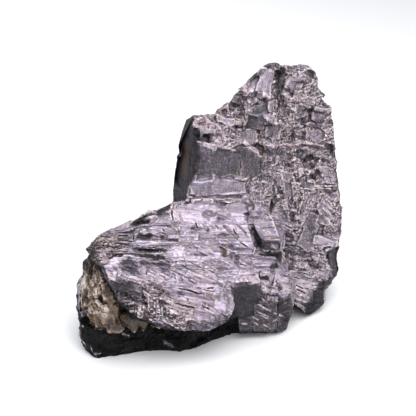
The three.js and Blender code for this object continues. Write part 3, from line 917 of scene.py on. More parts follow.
def cutFlats(points, normals, freshAndPaintedLight, rough):
    # each facet replaces the surface inside its box by a plane; back come the shift and how far each point is
    # inside one
    moved = np.zeros_like(points)
    inside = np.zeros(len(points))
    for name, roll, corner, opposite, leans, sink, value, roughness in flats.values():
        yaw, lean, _ = grains[name]["turn"]
        axes = grainAxes(yaw, lean, roll)
        middle, half = boxOnSolid(corner, opposite, axes)
        size = flatting["near"][0] * max(half) + flatting["near"][1]
        near = np.flatnonzero(np.all(np.abs(points - middle) < size, axis=1))
        local = (points[near] - middle) @ axes.T
        ragged = grains[name]["ragged"]
        waver = softNoise(points[near], 1 + ragged, flatting["seed"]) - flatting["raggedMiddle"]
        gap = (np.abs(local[:, :2]) - half).max(axis=1) + waver * ragged
        kept = (gap < flatting["edge"][1]) & (np.abs(local[:, 2]) < flatting["depth"])
        near, local, gap = near[kept], local[kept], gap[kept]
        sides = np.column_stack((local[:, :2], np.ones(len(local))))
        plane = np.linalg.lstsq(sides, local[:, 2], rcond=None)[0] + (leans[1], leans[0], -sink)
        weight = 1 - smoothStep(*flatting["edge"], gap)
        weight *= smoothStep(*flatting["facing"], normals[near] @ axes[2])
        shift = (sides @ plane - local[:, 2]) * weight
        moved[near] = moved[near] * (1 - weight[:, None]) + shift[:, None] * axes[2]
        freshAndPaintedLight[near] += (value - freshAndPaintedLight[near]) * weight
        rough[near] += (roughness - rough[near]) * weight
        inside[near] = np.maximum(inside[near], weight)
    return moved, inside


# the galena

# how fresh the metal is along strips, partly its own freshness and partly painted shade (dark faces and
# recesses) and painted highlight (bright ledges): reach in mm, from 0, black, to 1, and the places in the
# view that they run through
paintedToneLightAndShade = {
    "slab": [
        (3.5, 0.3, [(264, 150), (267, 174)]),
        (7, 0.37, [(292, 230), (318, 228)]),
        (2.4, 0.05, [(194, 122), (195, 145), (190, 170), (183, 190)]),
        (1, 0.15, [(280, 70), (279, 86)]),
        (1.4, 0.22, [(240, 92), (262, 73)]),
        (2.5, 1.05, [(200, 122), (215, 126)]),
        (2, 0.75, [(205, 142), (222, 139)]),
        (0.9, 0.95, [(266, 116), (285, 128)]),
        (1.1, 0.85, [(311, 207), (302, 219)]),
        (1.3, 0.85, [(318, 240), (336, 240)]),
        (0.9, 1.1, [(338, 192), (338, 200)]),
        (1.3, 0.5, [(283, 226), (291, 229)]),
        (3, 0.62, [(215, 112), (236, 97), (250, 84)]),
        (4, 0.6, [(315, 150), (320, 180), (325, 200)]),
    ],
    "bench": [
        (1.1, 0.25, [(247, 210), (248, 224), (259, 241)]),
        (2.5, 0.14, [(104, 303), (118, 310), (135, 316), (150, 319)]),
        (2.2, 0.32, [(118, 300), (140, 308)]),
        (1.5, 0.15, [(112, 252), (118, 260)]),
        (3.4, 0.06, [(139, 220), (148, 214), (157, 211), (164, 208)]),
        (0.8, 0.08, [(141, 222), (149, 222)]),
        (4.5, 0.33, [(93, 245), (105, 238), (125, 232)]),
        (3, 0.28, [(92, 250), (100, 262)]),
        (4, 0.42, [(215, 295), (220, 300)]),
        (2.4, 0.13, [(186, 324), (203, 323), (217, 314)]),
        (4, 0.86, [(180, 212), (215, 215), (240, 222)]),
        (3, 0.9, [(165, 252), (215, 255)]),
        (2, 0.9, [(200, 285), (214, 290)]),
        (1.6, 0.1, [(135, 319), (150, 325), (165, 328)]),
        (2, 0.2, [(92, 256), (100, 266)]),
        (0.7, 0.9, [(100, 250), (104, 262)]),
        (2.2, 0.2, [(165, 329), (185, 331), (205, 326), (222, 316)]),
        (1.6, 0.2, [(188, 318), (200, 318)]),
        (4.5, 0.4, [(136, 248), (158, 250)]),
        (2.4, 0.3, [(124, 264), (133, 266)]),
        (1, 0.95, [(110, 267), (117, 260), (126, 257), (140, 260)]),
        (6, 0.13, [(120, 296), (132, 306), (150, 314)]),
        (1.6, 0.15, [(136, 317), (150, 321), (166, 326)]),
        (2.2, 0.2, [(128, 263), (133, 266)]),
        (0.8, 0.95, [(107, 268), (112, 262), (119, 257.5)]),
        (4, 0.34, [(148, 307), (160, 311), (172, 315)]),
        (4, 0.95, [(196, 296), (206, 290)]),
        (2.4, 0.18, [(90, 244), (93, 256)]),
        (4.5, 0.95, [(182, 306), (200, 308), (212, 308)]),
    ],
    "blocks": [
        (2, 0.45, [(300, 250), (322, 256)]),
        (2.3, 0.95, [(238, 270), (256, 276)]),
        (1, 0.05, [(274, 266), (278, 265)]),
        (3, 0.72, [(267, 270), (269, 284), (274, 293)]),
        (0.9, 0.1, [(262, 279.5), (268, 279.5)]),
        (0.8, 0.08, [(273, 268), (278, 265)]),
        (0.5, 0.12, [(262, 288), (265, 297)]),
        (0.5, 0.15, [(272, 284), (270, 294)]),
        (1.2, 0.8, [(233, 279.3), (258, 279.3)]),
        (1.4, 0.1, [(264, 255.5), (279, 255.5)]),
        (1.2, 0.35, [(284, 240), (285, 262)]),
        (0.9, 0.85, [(264, 290), (270, 296), (276, 299)]),
        (1.6, 0.5, [(288, 246), (289, 262)]),
    ],
    "flank": [
        (2.2, 0.07, [(333, 252), (334, 268), (330, 282)]),
        (2.4, 0.06, [(323, 284), (316, 296), (310, 306)]),
        (2, 0.1, [(281, 300), (284, 312)]),
        (2.8, 0.95, [(280, 275), (285, 290)]),
        (1.5, 0.8, [(300, 282), (312, 286)]),
        (2, 0.1, [(334, 262), (331, 276), (326, 284)]),
        (1.6, 0.1, [(320, 284), (318, 296), (315, 306)]),
    ],
    "foot": [
        (0.5, 0.8, [(86, 340), (88, 343)]),
        (0.4, 0.6, [(84, 331), (85, 335)]),
        (0.4, 0.6, [(98, 352), (101, 353)]),
        (0.4, 0.5, [(122, 334), (128, 336)]),
        (0.4, 0.5, [(93, 347), (95, 350)]),
        (0.4, 0.5, [(84, 322), (86, 325)]),
        (0.6, 0.35, [(165, 342), (172, 344)]),
    ],
}
# brown stains, in the same way
stained = {
    "slab": [
        (0.45, 0.7, [(241.5, 158), (240, 163), (240.6, 167), (238.5, 171), (239, 177)]),
        (0.6, 0.9, [(238, 181), (246, 182)]),
        (0.8, 0.9, [(288, 196), (288, 203)]),
        (0.9, 0.8, [(243, 137), (247, 139)]),
        (1.2, 0.5, [(262, 148), (264, 158)]),
        (1.6, 0.5, [(258, 128), (262, 140)]),
        (1.3, 0.5, [(244, 112), (244, 126)]),
        (2.4, 0.5, [(186, 150), (184, 175)]),
    ],
    "bench": [
        (1.1, 1, [(224, 249), (224, 256)]),
        (2.4, 0.5, [(213, 297), (211, 302)]),
        (0.8, 1, [(272, 188), (271, 213)]),
        (1.5, 0.5, [(180, 240), (190, 242)]),
        (3, 0.45, [(95, 240), (110, 235)]),
        (1.2, 0.6, [(94, 262), (97, 275)]),
        (3, 0.35, [(104, 252), (118, 244)]),
    ],
}
# how lively the stepping is: rough patches get more hackle, calm ones less of everything
liveliness = {
    "hackle": {"slab": 0.5, "seat": 0.12, "slope": 0.22, "block": 0.3, "flank": 0.35, "foot": 0.5},
    "rough": [
        ((31, 19, 56), 9, 1.1),
        ((32, 18, 46), 8, 1.2),
        ((29, 15, 34), 7, 0.9),
        ((27, 24, 72), 8, 0.9),
        ((0, 12, 61), 7, 1),
        ((-18, -21, 18), 7, 1.4),
        ((-25, -20, 20), 5, 1.4),
        ((-8, -22, 15), 5, 1),
        ((-33, -13, 30), 7, 0.9),
        ((-19, 3, 36), 6, 1.4),
        ((-22, -25, 19), 5, 1.4),
        ((22, 3, 22), 4, 1),
    ],
    "calm": [
        ((5.2, 8.4, 46), 9, 0.35),
        ((14.4, 16.8, 60), 4.5, 0.3),
        ((16.4, 20.7, 70.5), 4, 0.3),
        ((17, 4, 29), 4.5, 0.25),
        ((10, -10, 9), 6, 0.3),
        ((4.1, -18.3, 17.7), 4, 0.3),
        ((-3, -2, 38), 7, 0.6),
        ((-7, 12, 42), 9, 0.12),
        ((-6, 14, 55), 9, 0.12),
    ],
}
# places that bulge out past the plain solid: middle, reach and push, in mm
galenaSwells = [
    ((-17.4, 0, 37), 4.5, (0, 0, 1)),
    ((-24.9, -5.3, 35), 6, (0, 0, -0.7)),
    ((-7, -16, 1), 10, (0.3, -2.6, 0)),
    ((-36.5, -18, 5), 8, (-1.9, -0.5, 0)),
    ((-33, -20.5, 1), 5, (-0.3, -1, 0)),
    ((39.5, 12.5, 9.5), 5.5, (1.8, -0.3, -0.2)),
    ((31, 0.5, 3.5), 6, (0, -0.3, -1.5)),
    ((35.5, 3.5, 4), 5, (1.2, 0, -0.6)),
    ((25.5, -7, 6), 7, (1.3, 0, 0)),
    ((18, -11, 1), 7, (0.2, -0.9, 0)),
    ((37.2, 25.5, 61.5), 3.5, (1.7, 0, 0)),
    ((35.5, 26.2, 67.5), 3.5, (-1.5, 0, 0)),
    ((18, 22.5, 76), 6, (-0.2, 0, 0.8)),
]
galenaForm = {
    "voxel": 0.24 * mm,
    "seed": 5,
    "hackle": [((1.9, 1.6, 1.6), (0.9, 0.8, 0.8), 1.1, 0.4, 0.25)],
    "chipRoll": 27,
    "smallestShare": 0.01,
    # rounds of evening that make the fine and the broad normals, first for filling and then for all else
    "fillNormals": (6, 20),
    "normals": (10, 14),
    "filling": 40,  # rounds
    # along the crevice the hollows stay: over this distance in mm, and how much they fill in its middle
    "crevice": [(13, 5.5, 34.5), (13.5, 3, 31), (17, 0, 28)],
    "creviceEdge": (1.5, 4),
    "creviceFilling": 0.4,
    # the slab's left corner is sheared off left of this line, where the face looks forward
    "corner": {
        "z": (36, 41, 48.5, 55.5, 63),
        "x": (-7.5, -6.5, -4, -3, -4.2),
        "fall": 0.9,
        "deepest": 4,
        "lowest": 40,
        "leftmost": -14,
        "forward": -0.3,
    },
    "resting": 0.05,  # mm; what lies lower stays on the ground
    # spikes are drawn back to this height in mm, so many times, towards a surface evened by so many rounds
    "sharpest": 0.3,
    "drawing": 3,
    "surroundings": 4,
    # how much lies between a whole hollow and a whole edge, in mm, and how many rounds even the surroundings
    "edge": (0.15, 2),
    "depth": (1.6, 40),
    # how much less hackle the back has, and how much less of the steps and chips the flat facets have
    "calmed": {"back": 0.7, "stepsInFacets": 0.8, "chipsInFacets": 0.85},
    "triangles": 194000,
}

# where the galena is fresh and bright, from 0, black with tarnish, to 1; the black foot is painted shade
freshnessAndShade = {
    "grains": {"slab": 0.44, "seat": 0.56, "slope": 0.7, "block": 0.17, "flank": 0.6, "foot": 0.0},
    "hackly": 0.25,
    # how broadly, in mm, and by which seed the strips and the stains waver
    "stripWaver": (1.4, 12),
    "stainWaver": (1, 13),
    # the sheer faces that look left, the back and the undersides, darkened as painted shade: how fresh, and
    # from which slant to which
    "leftward": (0.12, 0.62, 0.85),
    "backward": (0.26, 0.3, 0.7),
    "downward": (0.03, 0.1, 0.45),
}


def fillHollows(thing, links):
    # hollows of the bench fill up from their surroundings while edges stand, apart from the crevice
    fine, broad = galenaForm["fillNormals"]
    points = pointsOf(thing)
    normals = unit(evened(links, normalsOf(thing), fine))
    shares = grainShares(links, points, unit(evened(links, normals, broad)))
    amount = shares[:, list(grains).index("seat")] + shares[:, list(grains).index("slope")]
    chosen, distance, *_ = nearLine(points, galenaForm["crevice"], galenaForm["creviceEdge"][1])
    least = galenaForm["creviceFilling"]
    amount[chosen] *= least + (1 - least) * smoothStep(*galenaForm["creviceEdge"], distance)
    for _ in range(galenaForm["filling"]):
        lift = dots(evened(links, points, 1) - points, normals)
        points += normals * (np.maximum(lift, 0) * amount)[:, None]
    setPoints(thing, points)


def shearedCorner(points, broad):
    # how far each point lies beyond the corner's line, and how much of the shearing it takes
    corner = galenaForm["corner"]
    beyond = np.interp(points[:, 2], corner["z"], corner["x"]) - points[:, 0]
    sheared = smoothStep(0, 1, beyond) * (broad[:, 1] < corner["forward"])
    sheared = sheared * (points[:, 2] > corner["lowest"]) * (points[:, 0] > corner["leftmost"])
    return beyond, sheared


def shadedSidesOf(broad, sheared):
    # how far each point takes the painted shade of the left sides, of the back and of the undersides
    looks = {"leftward": -broad[:, 0], "backward": broad[:, 1], "downward": -broad[:, 2]}
    sides = {name: smoothStep(*freshnessAndShade[name][1:], look) for name, look in looks.items()}
    # the sheared corner takes the painted shade of the left sides
    sides["leftward"] = np.maximum(sides["leftward"], sheared)
    return sides


def addSteps(moved, points, normals, shares, calm, chipping):
    # the terraces of every grain, with turned chips where it is hackly
    seed = galenaForm["seed"]
    chipTurn = np.array(Matrix.Rotation(math.radians(galenaForm["chipRoll"]), 3, "Y"))
    for column, grain in enumerate(grains.values()):
        axes = grainAxes(*grain["turn"])
        chosen = np.flatnonzero(shares[:, column] > galenaForm["smallestShare"])
        place, normal = points[chosen], normals[chosen]
        step = terraced(place, normal, axes, grain["terraces"], grain["wander"], seed + column)
        chipSeed = seed + stepping["chipSeed"] + column
        chips = terraced(place, normal, axes @ chipTurn, galenaForm["hackle"], 1, chipSeed)
        step = step * calm[chosen, None] + chips * chipping[chosen, None]
        moved[chosen] += shares[chosen, column, None] * step


def grainPlaces(points, shares):
    # each point in its own grain's directions, which the finish follows
    grainOf = np.argmax(shares, axis=1)
    local = np.zeros_like(points)
    for column, grain in enumerate(grains.values()):
        own = grainOf == column
        local[own] = points[own] @ grainAxes(*grain["turn"]).T * (grain["pace"], 1, 1)
    return local


def drawBack(links, points):
    # thin blades and spikes draw back
    for _ in range(galenaForm["drawing"]):
        away = points - evened(links, points, galenaForm["surroundings"])
        length = np.maximum(np.linalg.norm(away, axis=1, keepdims=True), 1e-9)
        points -= away * np.maximum(1 - galenaForm["sharpest"] / length, 0)


def measureHollows(thing, links, points, normals, name, settings):
    # from 0 in a hollow to 1 on an edge, against the surroundings
    whole, rounds = settings
    below = dots(evened(links, points, rounds) - points, normals)
    setAttribute(thing, name, np.clip(0.5 - below / whole, 0, 1))


def livelinessAt(points, shares, backward):
    # how much every step counts at each point, and how much hackle there is
    calm = patchwork(points, np.ones(len(points)), liveliness["calm"])
    hackle = shares @ np.array([liveliness["hackle"][name] for name in grains])
    hackle = patchwork(points, hackle, liveliness["rough"]) * calm
    return calm, hackle * (1 - galenaForm["calmed"]["back"] * backward)


def freshenedAndShaded(points, freshAndPaintedLight, hackle, sides):
    # strips of painted tone, light and shade are laid on, and then the sides that look away take their own
    # darker painted shade
    ragged = softNoise(points, *freshnessAndShade["stripWaver"]) - 0.5
    freshAndPaintedLight = laidOn(points, freshAndPaintedLight, itertools.chain(*paintedToneLightAndShade.values()), ragged)
    freshAndPaintedLight *= 1 + hackle * freshnessAndShade["hackly"]
    for name, share in sides.items():
        freshAndPaintedLight += (freshnessAndShade[name][0] - freshAndPaintedLight) * share
    return freshAndPaintedLight


def stainsAt(points):
    ragged = softNoise(points, *freshnessAndShade["stainWaver"]) - 0.5
    return laidOn(points, np.zeros(len(points)), itertools.chain(*stained.values()), ragged)


def settled(links, points, moved):
    # the points after all that moves them; what rests on the ground stays flat
    resting = points[:, 2] < galenaForm["resting"]
    points = points + moved
    drawBack(links, points)
    points[resting, 2] = 0
    points[:, 2] = np.maximum(points[:, 2], 0)
    return points


def cleaveGalena(galena):
    links = linksOf(galena)
    fillHollows(galena, links)
    points = pointsOf(galena)
    normals = unit(evened(links, normalsOf(galena), galenaForm["normals"][0]))
    broad = unit(evened(links, normals, galenaForm["normals"][1]))
    shares = grainShares(links, points, broad)
    beyond, sheared = shearedCorner(points, broad)
    sides = shadedSidesOf(broad, sheared)
    calm, hackle = livelinessAt(points, shares, sides["backward"])
    freshAndPaintedLight = shares @ np.array([freshnessAndShade["grains"][name] for name in grains])
    # the facets and the marks change how fresh and how hackly the points are, and paint light and shade on
    # them
    moved, inside = cutFlats(points, broad, freshAndPaintedLight, hackle)
    freshAndPaintedLight = freshenedAndShaded(points, freshAndPaintedLight, hackle, sides)
    moved += carve(points, normals, freshAndPaintedLight, galenaForm["seed"]) + swell(points, galenaSwells)
    corner = galenaForm["corner"]
    moved[:, 1] += sheared * np.clip(beyond, 0, corner["deepest"]) * corner["fall"]
    calmed = galenaForm["calmed"]
    calm *= 1 - calmed["stepsInFacets"] * inside
    chipping = hackle * (1 - calmed["chipsInFacets"] * inside)
    addSteps(moved, points, normals, shares, calm, chipping)
    looks = {"rough": hackle, "grain": grainPlaces(points, shares), "freshAndPaintedLight": freshAndPaintedLight, "stain": stainsAt(points)}
    for name, values in looks.items():
        setAttribute(galena, name, values)
    points = settled(links, points, moved)
    setPoints(galena, points)
    measureHollows(galena, links, points, normalsOf(galena), "edge", galenaForm["edge"])
    measureHollows(galena, links, points, broad, "depth", galenaForm["depth"])


def makeGalena():
    galena = copyOfNode("galena", "galenaMass")
    applyModifier(galena, "REMESH", mode="VOXEL", voxel_size=galenaForm["voxel"])
    print("galena remeshed:", len(galena.data.vertices), "points")
    cleaveGalena(galena)
    thinned(galena, galenaForm["triangles"])
    print("galena cleaved:", len(galena.data.polygons), "triangles")
    return galena


# shader nodes; each of these gives back the output that the next one takes


def feed(tree, socket, value):
    # a number or colour is set, and another node's output is linked
    if isinstance(value, bpy.types.NodeSocket):
        tree.links.new(value, socket)
    else:
        socket.default_value = value


def addShader(tree, kind, values, **settings):
    node = tree.nodes.new(kind)
    for name, value in settings.items():
        setattr(node, name, value)
    for name, value in values.items():
        feed(tree, node.inputs[name], value)
    return node


def attributeOf(tree, name, socket="Fac"):
    return addShader(tree, "ShaderNodeAttribute", {}, attribute_name=name).outputs[socket]


def mathOf(tree, operation, first, second=0, clamp=False):
    node = addShader(tree, "ShaderNodeMath", {}, operation=operation, use_clamp=clamp)
    feed(tree, node.inputs[0], first)
    feed(tree, node.inputs[1], second)
    return node.outputs[0]


def sumOf(tree, first, second, clamp=False):
    return mathOf(tree, "ADD", first, second, clamp)


def productOf(tree, first, second, clamp=False):
    return mathOf(tree, "MULTIPLY", first, second, clamp)


def vectorOf(tree, operation, first, second=None, scale=None):
    node = addShader(tree, "ShaderNodeVectorMath", {}, operation=operation)
    feed(tree, node.inputs[0], first)
    if second is not None:
        feed(tree, node.inputs[1], second)
    if scale is not None:
        feed(tree, node.inputs["Scale"], scale)
    return node.outputs[0]


def rangeOf(tree, value, fromLow, fromHigh, toLow=0.0, toHigh=1.0):
    values = {"Value": value, "From Min": fromLow, "From Max": fromHigh, "To Min": toLow, "To Max": toHigh}
    return addShader(tree, "ShaderNodeMapRange", values).outputs["Result"]


def blendOf(tree, amount, first, second, kind="MIX"):
    node = addShader(tree, "ShaderNodeMix", {}, data_type="RGBA", blend_type=kind)
    # inputs 6 and 7 are its two colours
    for name, value in (("Factor", amount), (6, first), (7, second)):
        feed(tree, node.inputs[name], value)
    return node.outputs[2]


def noiseOf(tree, vector, scale, detail, stretch=(1, 1, 1), output="Fac"):
    mapping = addShader(tree, "ShaderNodeMapping", {"Vector": vector, "Scale": stretch})
    values = {"Vector": mapping.outputs[0], "Scale": scale, "Detail": detail}
    return addShader(tree, "ShaderNodeTexNoise", values).outputs[output]


def cellsOf(tree, vector, scale, stretch, **settings):
    # a random colour for each cell
    mapping = addShader(tree, "ShaderNodeMapping", {"Vector": vector, "Scale": stretch})
    values = {"Vector": mapping.outputs[0], "Scale": scale}
    return addShader(tree, "ShaderNodeTexVoronoi", values, **settings).outputs["Color"]


def linesOf(tree, vector, scale, stretch, width, core=0.3, detail=2):
    # thin wandering lines, where smooth noise crosses its middle; they are whole in their core
    away = mathOf(tree, "SUBTRACT", noiseOf(tree, vector, scale, detail, stretch), 0.5)
    return rangeOf(tree, mathOf(tree, "ABSOLUTE", away), width, width * core)


def centred(tree, colour):
    return vectorOf(tree, "SUBTRACT", colour, (0.5, 0.5, 0.5))


def leaningNormal(tree, normal, parts):
    # small flakes lean their own way: each part is a random colour and how far it may lean
    for colour, amount in parts:
        normal = vectorOf(tree, "ADD", normal, vectorOf(tree, "SCALE", centred(tree, colour), scale=amount))
    return vectorOf(tree, "NORMALIZE", normal)


def dress(thing, material):
    thing.data.materials.clear()
    thing.data.materials.append(material)


# the galena's finish

galenaFinish = {
    # the black of tarnish, also painted shade on the foot, the undersides and in hollows
    "tarnishAndShade": (0.0045, 0.004, 0.0042, 1),
    "dull": (0.118, 0.101, 0.117, 1),
    "freshAndPaintedLight": (0.57, 0.475, 0.545, 1),
    # the pale colour of worn edges and crushed lips: partly wear and partly painted highlight
    "lip": (0.8, 0.71, 0.74, 1),
    # a cool and a warm cast that the metal wanders between
    "cool": (0.955, 1, 1.08, 1),
    "warm": (1.03, 1, 0.88, 1),
    "stain": (0.16, 0.1, 0.05, 1),
    # soft patterns: how fine, how detailed, and how stretched along the ledges, up the face and outwards
    "noises": {
        "cloud": (0.22, 3, (1, 1, 1)),
        "grit": (2.6, 3, (0.5, 1.4, 1)),
        "silk": (1.1, 3, (0.07, 1, 1)),
        "striae": (3.2, 2, (0.07, 1, 1)),
        "crushing": (0.4, 2, (1, 1, 1)),
        "casting": (0.7, 4, (1, 1, 1)),
    },
    # small pieces: how fine, how stretched, and how far they lean where the surface is smooth and where rough
    "pieces": {
        "facet": (0.3, (0.6, 1.1, 1), (0, 0.35)),
        "flake": (0.9, (0.6, 1.3, 1), (0, 0.3)),
        "fleck": (2.3, (0.7, 1.3, 1), (0.2, 0.6)),
    },
    # thin lines: how fine, how stretched and how wide
    "crushedLines": [(1.1, (0.35, 1.2, 1), 0.028), (1.1, (1.2, 0.4, 1), 0.022)],
    "crackLines": (1.1, (0.12, 1, 1), 0.02),
    "crushed": 0.8,
    "sway": (0.5, 5),  # how finely and how far the pattern of the rough parts sways
    # how each measure is spread: from low and high, then to low and high where that isn't 0 and 1
    "spread": {
        "rough": (0.1, 0.6),
        "cloud": (0.3, 0.7, -0.12, 0.12),
        "facet": (0, 1, -0.13, 0.13),
        "flake": (0, 1, -0.1, 0.1),
        "silk": (0.3, 0.7, -0.15, 0.15),
        "freshMottle": (0, 0.4, 0.05, 1),
        "crushing": (0.42, 0.52),
        "freshCrushed": (0.05, 0.5),
        "worn": (0.6, 0.9, 0, 0.6),
        "freshWorn": (0.05, 0.4, 0.04, 1),
        "roughWorn": (0, 1, 0.4, 1),
        "hollow": (0.5, 0.1),
        "roughHollow": (0, 1, 0.3, 0.4),
        "deep": (0, 0.5, 0.7, 1),
        "cracked": (0.45, 0.55),
        "crack": (0, 1, 1, 0.65),
        "pitted": (0.14, 0.08),
        "roughPitted": (0, 1, 0.2, 0.6),
        "glint": (0.9, 0.94, 0, 0.4),
        "freshGlint": (0, 0.4),
        "dull": (0, 0.35),
        "bright": (0.3, 0.95),
        "freshLip": (0.1, 0.5),
        "cast": (0.35, 0.65, -0.2, 0.8),
        "roughCast": (0, 1, -0.1, 0.12),
        "stain": (0.4, 0.6),
        "metallic": (0.05, 0.5, 0, 0.9),
        "roughness": (0.3, 0.7, 0.36, 0.58),
    },
    "smoothRoughness": 0.12,
    "lipCrushed": 0.6,
    "bump": {"Strength": 0.6, "Distance": 0.15 * mm},
    "bumpGrit": 0.6,
    "bumpCrushed": 1.5,
    "specular": 0.12,
}


def spread(tree, value, name):
    return rangeOf(tree, value, *galenaFinish["spread"][name])


def galenaPatterns(tree):
    # everything that the finish is mixed from, by name
    pattern = {name: attributeOf(tree, name) for name in ("freshAndPaintedLight", "edge", "depth", "stain")}
    grain = attributeOf(tree, "grain", "Vector")
    rough = spread(tree, attributeOf(tree, "rough"), "rough")
    pattern["rough"] = rough
    pattern["smooth"] = mathOf(tree, "SUBTRACT", 1, rough)
    for name, settings in galenaFinish["noises"].items():
        pattern[name] = noiseOf(tree, grain, *settings)
    # a wavering copy of the grain's own directions, for the hackly parts
    scale, reach = galenaFinish["sway"]
    sway = centred(tree, noiseOf(tree, grain, scale, 1, output="Color"))
    waver = vectorOf(tree, "ADD", grain, vectorOf(tree, "SCALE", sway, scale=productOf(tree, rough, reach)))
    pattern["leans"] = []
    for name, (scale, stretch, leans) in galenaFinish["pieces"].items():
        colour = cellsOf(tree, grain if name == "fleck" else waver, scale, stretch, distance="CHEBYCHEV")
        pattern[name] = addShader(tree, "ShaderNodeSeparateColor", {"Color": colour}).outputs["Red"]
        pattern["leans"].append((colour, rangeOf(tree, rough, 0, 1, *leans)))
    crushed = mathOf(tree, "MAXIMUM", *(linesOf(tree, waver, *line) for line in galenaFinish["crushedLines"]))
    crushed = productOf(tree, crushed, spread(tree, pattern["crushing"], "crushing"))
    pattern["crushed"] = productOf(tree, crushed, productOf(tree, rough, galenaFinish["crushed"]))
    pattern["crack"] = linesOf(tree, grain, *galenaFinish["crackLines"])
    return pattern


def wornAndLitEdges(tree, pattern):
    # edges rubbed bright, partly wear and partly painted highlight
    worn = productOf(tree, spread(tree, pattern["edge"], "worn"), spread(tree, pattern["freshAndPaintedLight"], "freshWorn"))
    return productOf(tree, worn, spread(tree, pattern["rough"], "roughWorn"))


def metalFreshnessAndLight(tree, pattern, worn):
    # the broad freshness, with its painted light and shade, broken up by cloud, by facets where rough and by
    # silky streaks where smooth
    freshAndPaintedLight, rough = pattern["freshAndPaintedLight"], pattern["rough"]
    patchy = sumOf(tree, spread(tree, pattern["facet"], "facet"), spread(tree, pattern["flake"], "flake"))
    mottle = sumOf(tree, spread(tree, pattern["cloud"], "cloud"), productOf(tree, patchy, rough))
    streaky = productOf(tree, spread(tree, pattern["silk"], "silk"), pattern["smooth"])
    mottle = productOf(tree, sumOf(tree, mottle, streaky), spread(tree, freshAndPaintedLight, "freshMottle"))
    metal = sumOf(tree, freshAndPaintedLight, mottle)
    # crushed lips and worn edges catch the light
    metal = sumOf(tree, metal, productOf(tree, pattern["crushed"], spread(tree, freshAndPaintedLight, "freshCrushed")))
    metal = sumOf(tree, metal, worn)
    # hollows and pits are darkened as painted shade, and cracks are dark
    hollow = productOf(tree, spread(tree, pattern["edge"], "hollow"), spread(tree, rough, "roughHollow"))
    metal = productOf(tree, metal, mathOf(tree, "SUBTRACT", 1, hollow))
    metal = productOf(tree, metal, spread(tree, pattern["depth"], "deep"))
    crack = productOf(tree, pattern["crack"], spread(tree, pattern["cloud"], "cracked"))
    metal = productOf(tree, metal, spread(tree, crack, "crack"))
    pitted = productOf(tree, spread(tree, pattern["fleck"], "pitted"), spread(tree, rough, "roughPitted"))
    metal = productOf(tree, metal, mathOf(tree, "SUBTRACT", 1, pitted))
    glint = productOf(tree, spread(tree, pattern["fleck"], "glint"), spread(tree, freshAndPaintedLight, "freshGlint"))
    return sumOf(tree, metal, glint, clamp=True)


def metalColour(tree, pattern, worn, metal):
    finish = galenaFinish
    colour = blendOf(tree, spread(tree, metal, "dull"), finish["tarnishAndShade"], finish["dull"])
    colour = blendOf(tree, spread(tree, metal, "bright"), colour, finish["freshAndPaintedLight"])
    # worn edges and crushed lips turn pale: partly wear and partly painted highlight
    lip = sumOf(tree, worn, productOf(tree, pattern["crushed"], finish["lipCrushed"]))
    lip = productOf(tree, lip, spread(tree, pattern["freshAndPaintedLight"], "freshLip"), clamp=True)
    colour = blendOf(tree, lip, colour, finish["lip"])
    cast = sumOf(tree, spread(tree, pattern["casting"], "cast"), worn)
    cast = sumOf(tree, cast, spread(tree, pattern["rough"], "roughCast"), clamp=True)
    colour = blendOf(tree, 1, colour, blendOf(tree, cast, finish["cool"], finish["warm"]), "MULTIPLY")
    stain = productOf(tree, pattern["stain"], spread(tree, pattern["grit"], "stain"), clamp=True)
    return blendOf(tree, stain, colour, finish["stain"])


def paintGalena(galena):
    material, tree, shader = newMaterial("leadGreyGalena")
    pattern = galenaPatterns(tree)
    worn = wornAndLitEdges(tree, pattern)
    metal = metalFreshnessAndLight(tree, pattern, worn)
    feed(tree, shader.inputs["Base Color"], metalColour(tree, pattern, worn, metal))
    feed(tree, shader.inputs["Metallic"], spread(tree, metal, "metallic"))
    smoothed = productOf(tree, pattern["smooth"], galenaFinish["smoothRoughness"])
    feed(tree, shader.inputs["Roughness"], sumOf(tree, spread(tree, pattern["grit"], "roughness"), smoothed))
    # striations along the ledges, fine grit and crushed lips
    height = sumOf(tree, pattern["striae"], productOf(tree, pattern["grit"], galenaFinish["bumpGrit"]))
    height = sumOf(tree, height, productOf(tree, pattern["crushed"], galenaFinish["bumpCrushed"]))
    bump = addShader(tree, "ShaderNodeBump", {"Height": height, **galenaFinish["bump"]})
    feed(tree, shader.inputs["Normal"], leaningNormal(tree, bump.outputs[0], pattern["leans"]))
    shader.inputs["Specular IOR Level"].default_value = galenaFinish["specular"]
    dress(galena, material)


galena = makeGalena()
paintGalena(galena)
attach(galena, "root")
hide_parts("galena")

# the quartz

# how milky it is along strips, with dark brown painted shade where it lies under the galena: reach in mm,
# from below 0, dark and brown, to 1, and their places in the view
veinedAndShaded = [
    (1.6, 0.95, [(83, 283), (80, 295), (79, 302)]),
    (1, 0.9, [(91, 278), (93, 283)]),
    (1.2, 0.1, [(86, 292), (85, 300)]),
    (1.3, 0.95, [(95, 292), (97, 303)]),
    (1.8, 0.2, [(105, 282), (108, 293)]),
    (1.2, 0.9, [(102, 269), (103, 273)]),
    (2, 0.08, [(104, 299), (110, 303)]),
    (1.1, 0.95, [(104, 308), (108, 308)]),
    (2.2, 0.35, [(88, 316), (98, 324)]),
    (0.9, 0.7, [(96, 312), (106, 316)]),
    (2.6, -0.05, [(112, 325), (122, 322)]),
    (2.6, -0.2, [(124, 321), (133, 319)]),
    (3.5, -1, [(128, 320), (146, 325), (163, 328)]),
    (1.5, 0.1, [(92, 328), (86, 320)]),
    (1.8, 0.25, [(112, 304), (118, 315)]),
    (4, -0.7, [(89, 255), (90, 267)]),
    (1.2, 0.85, [(86, 275), (84, 280)]),
]
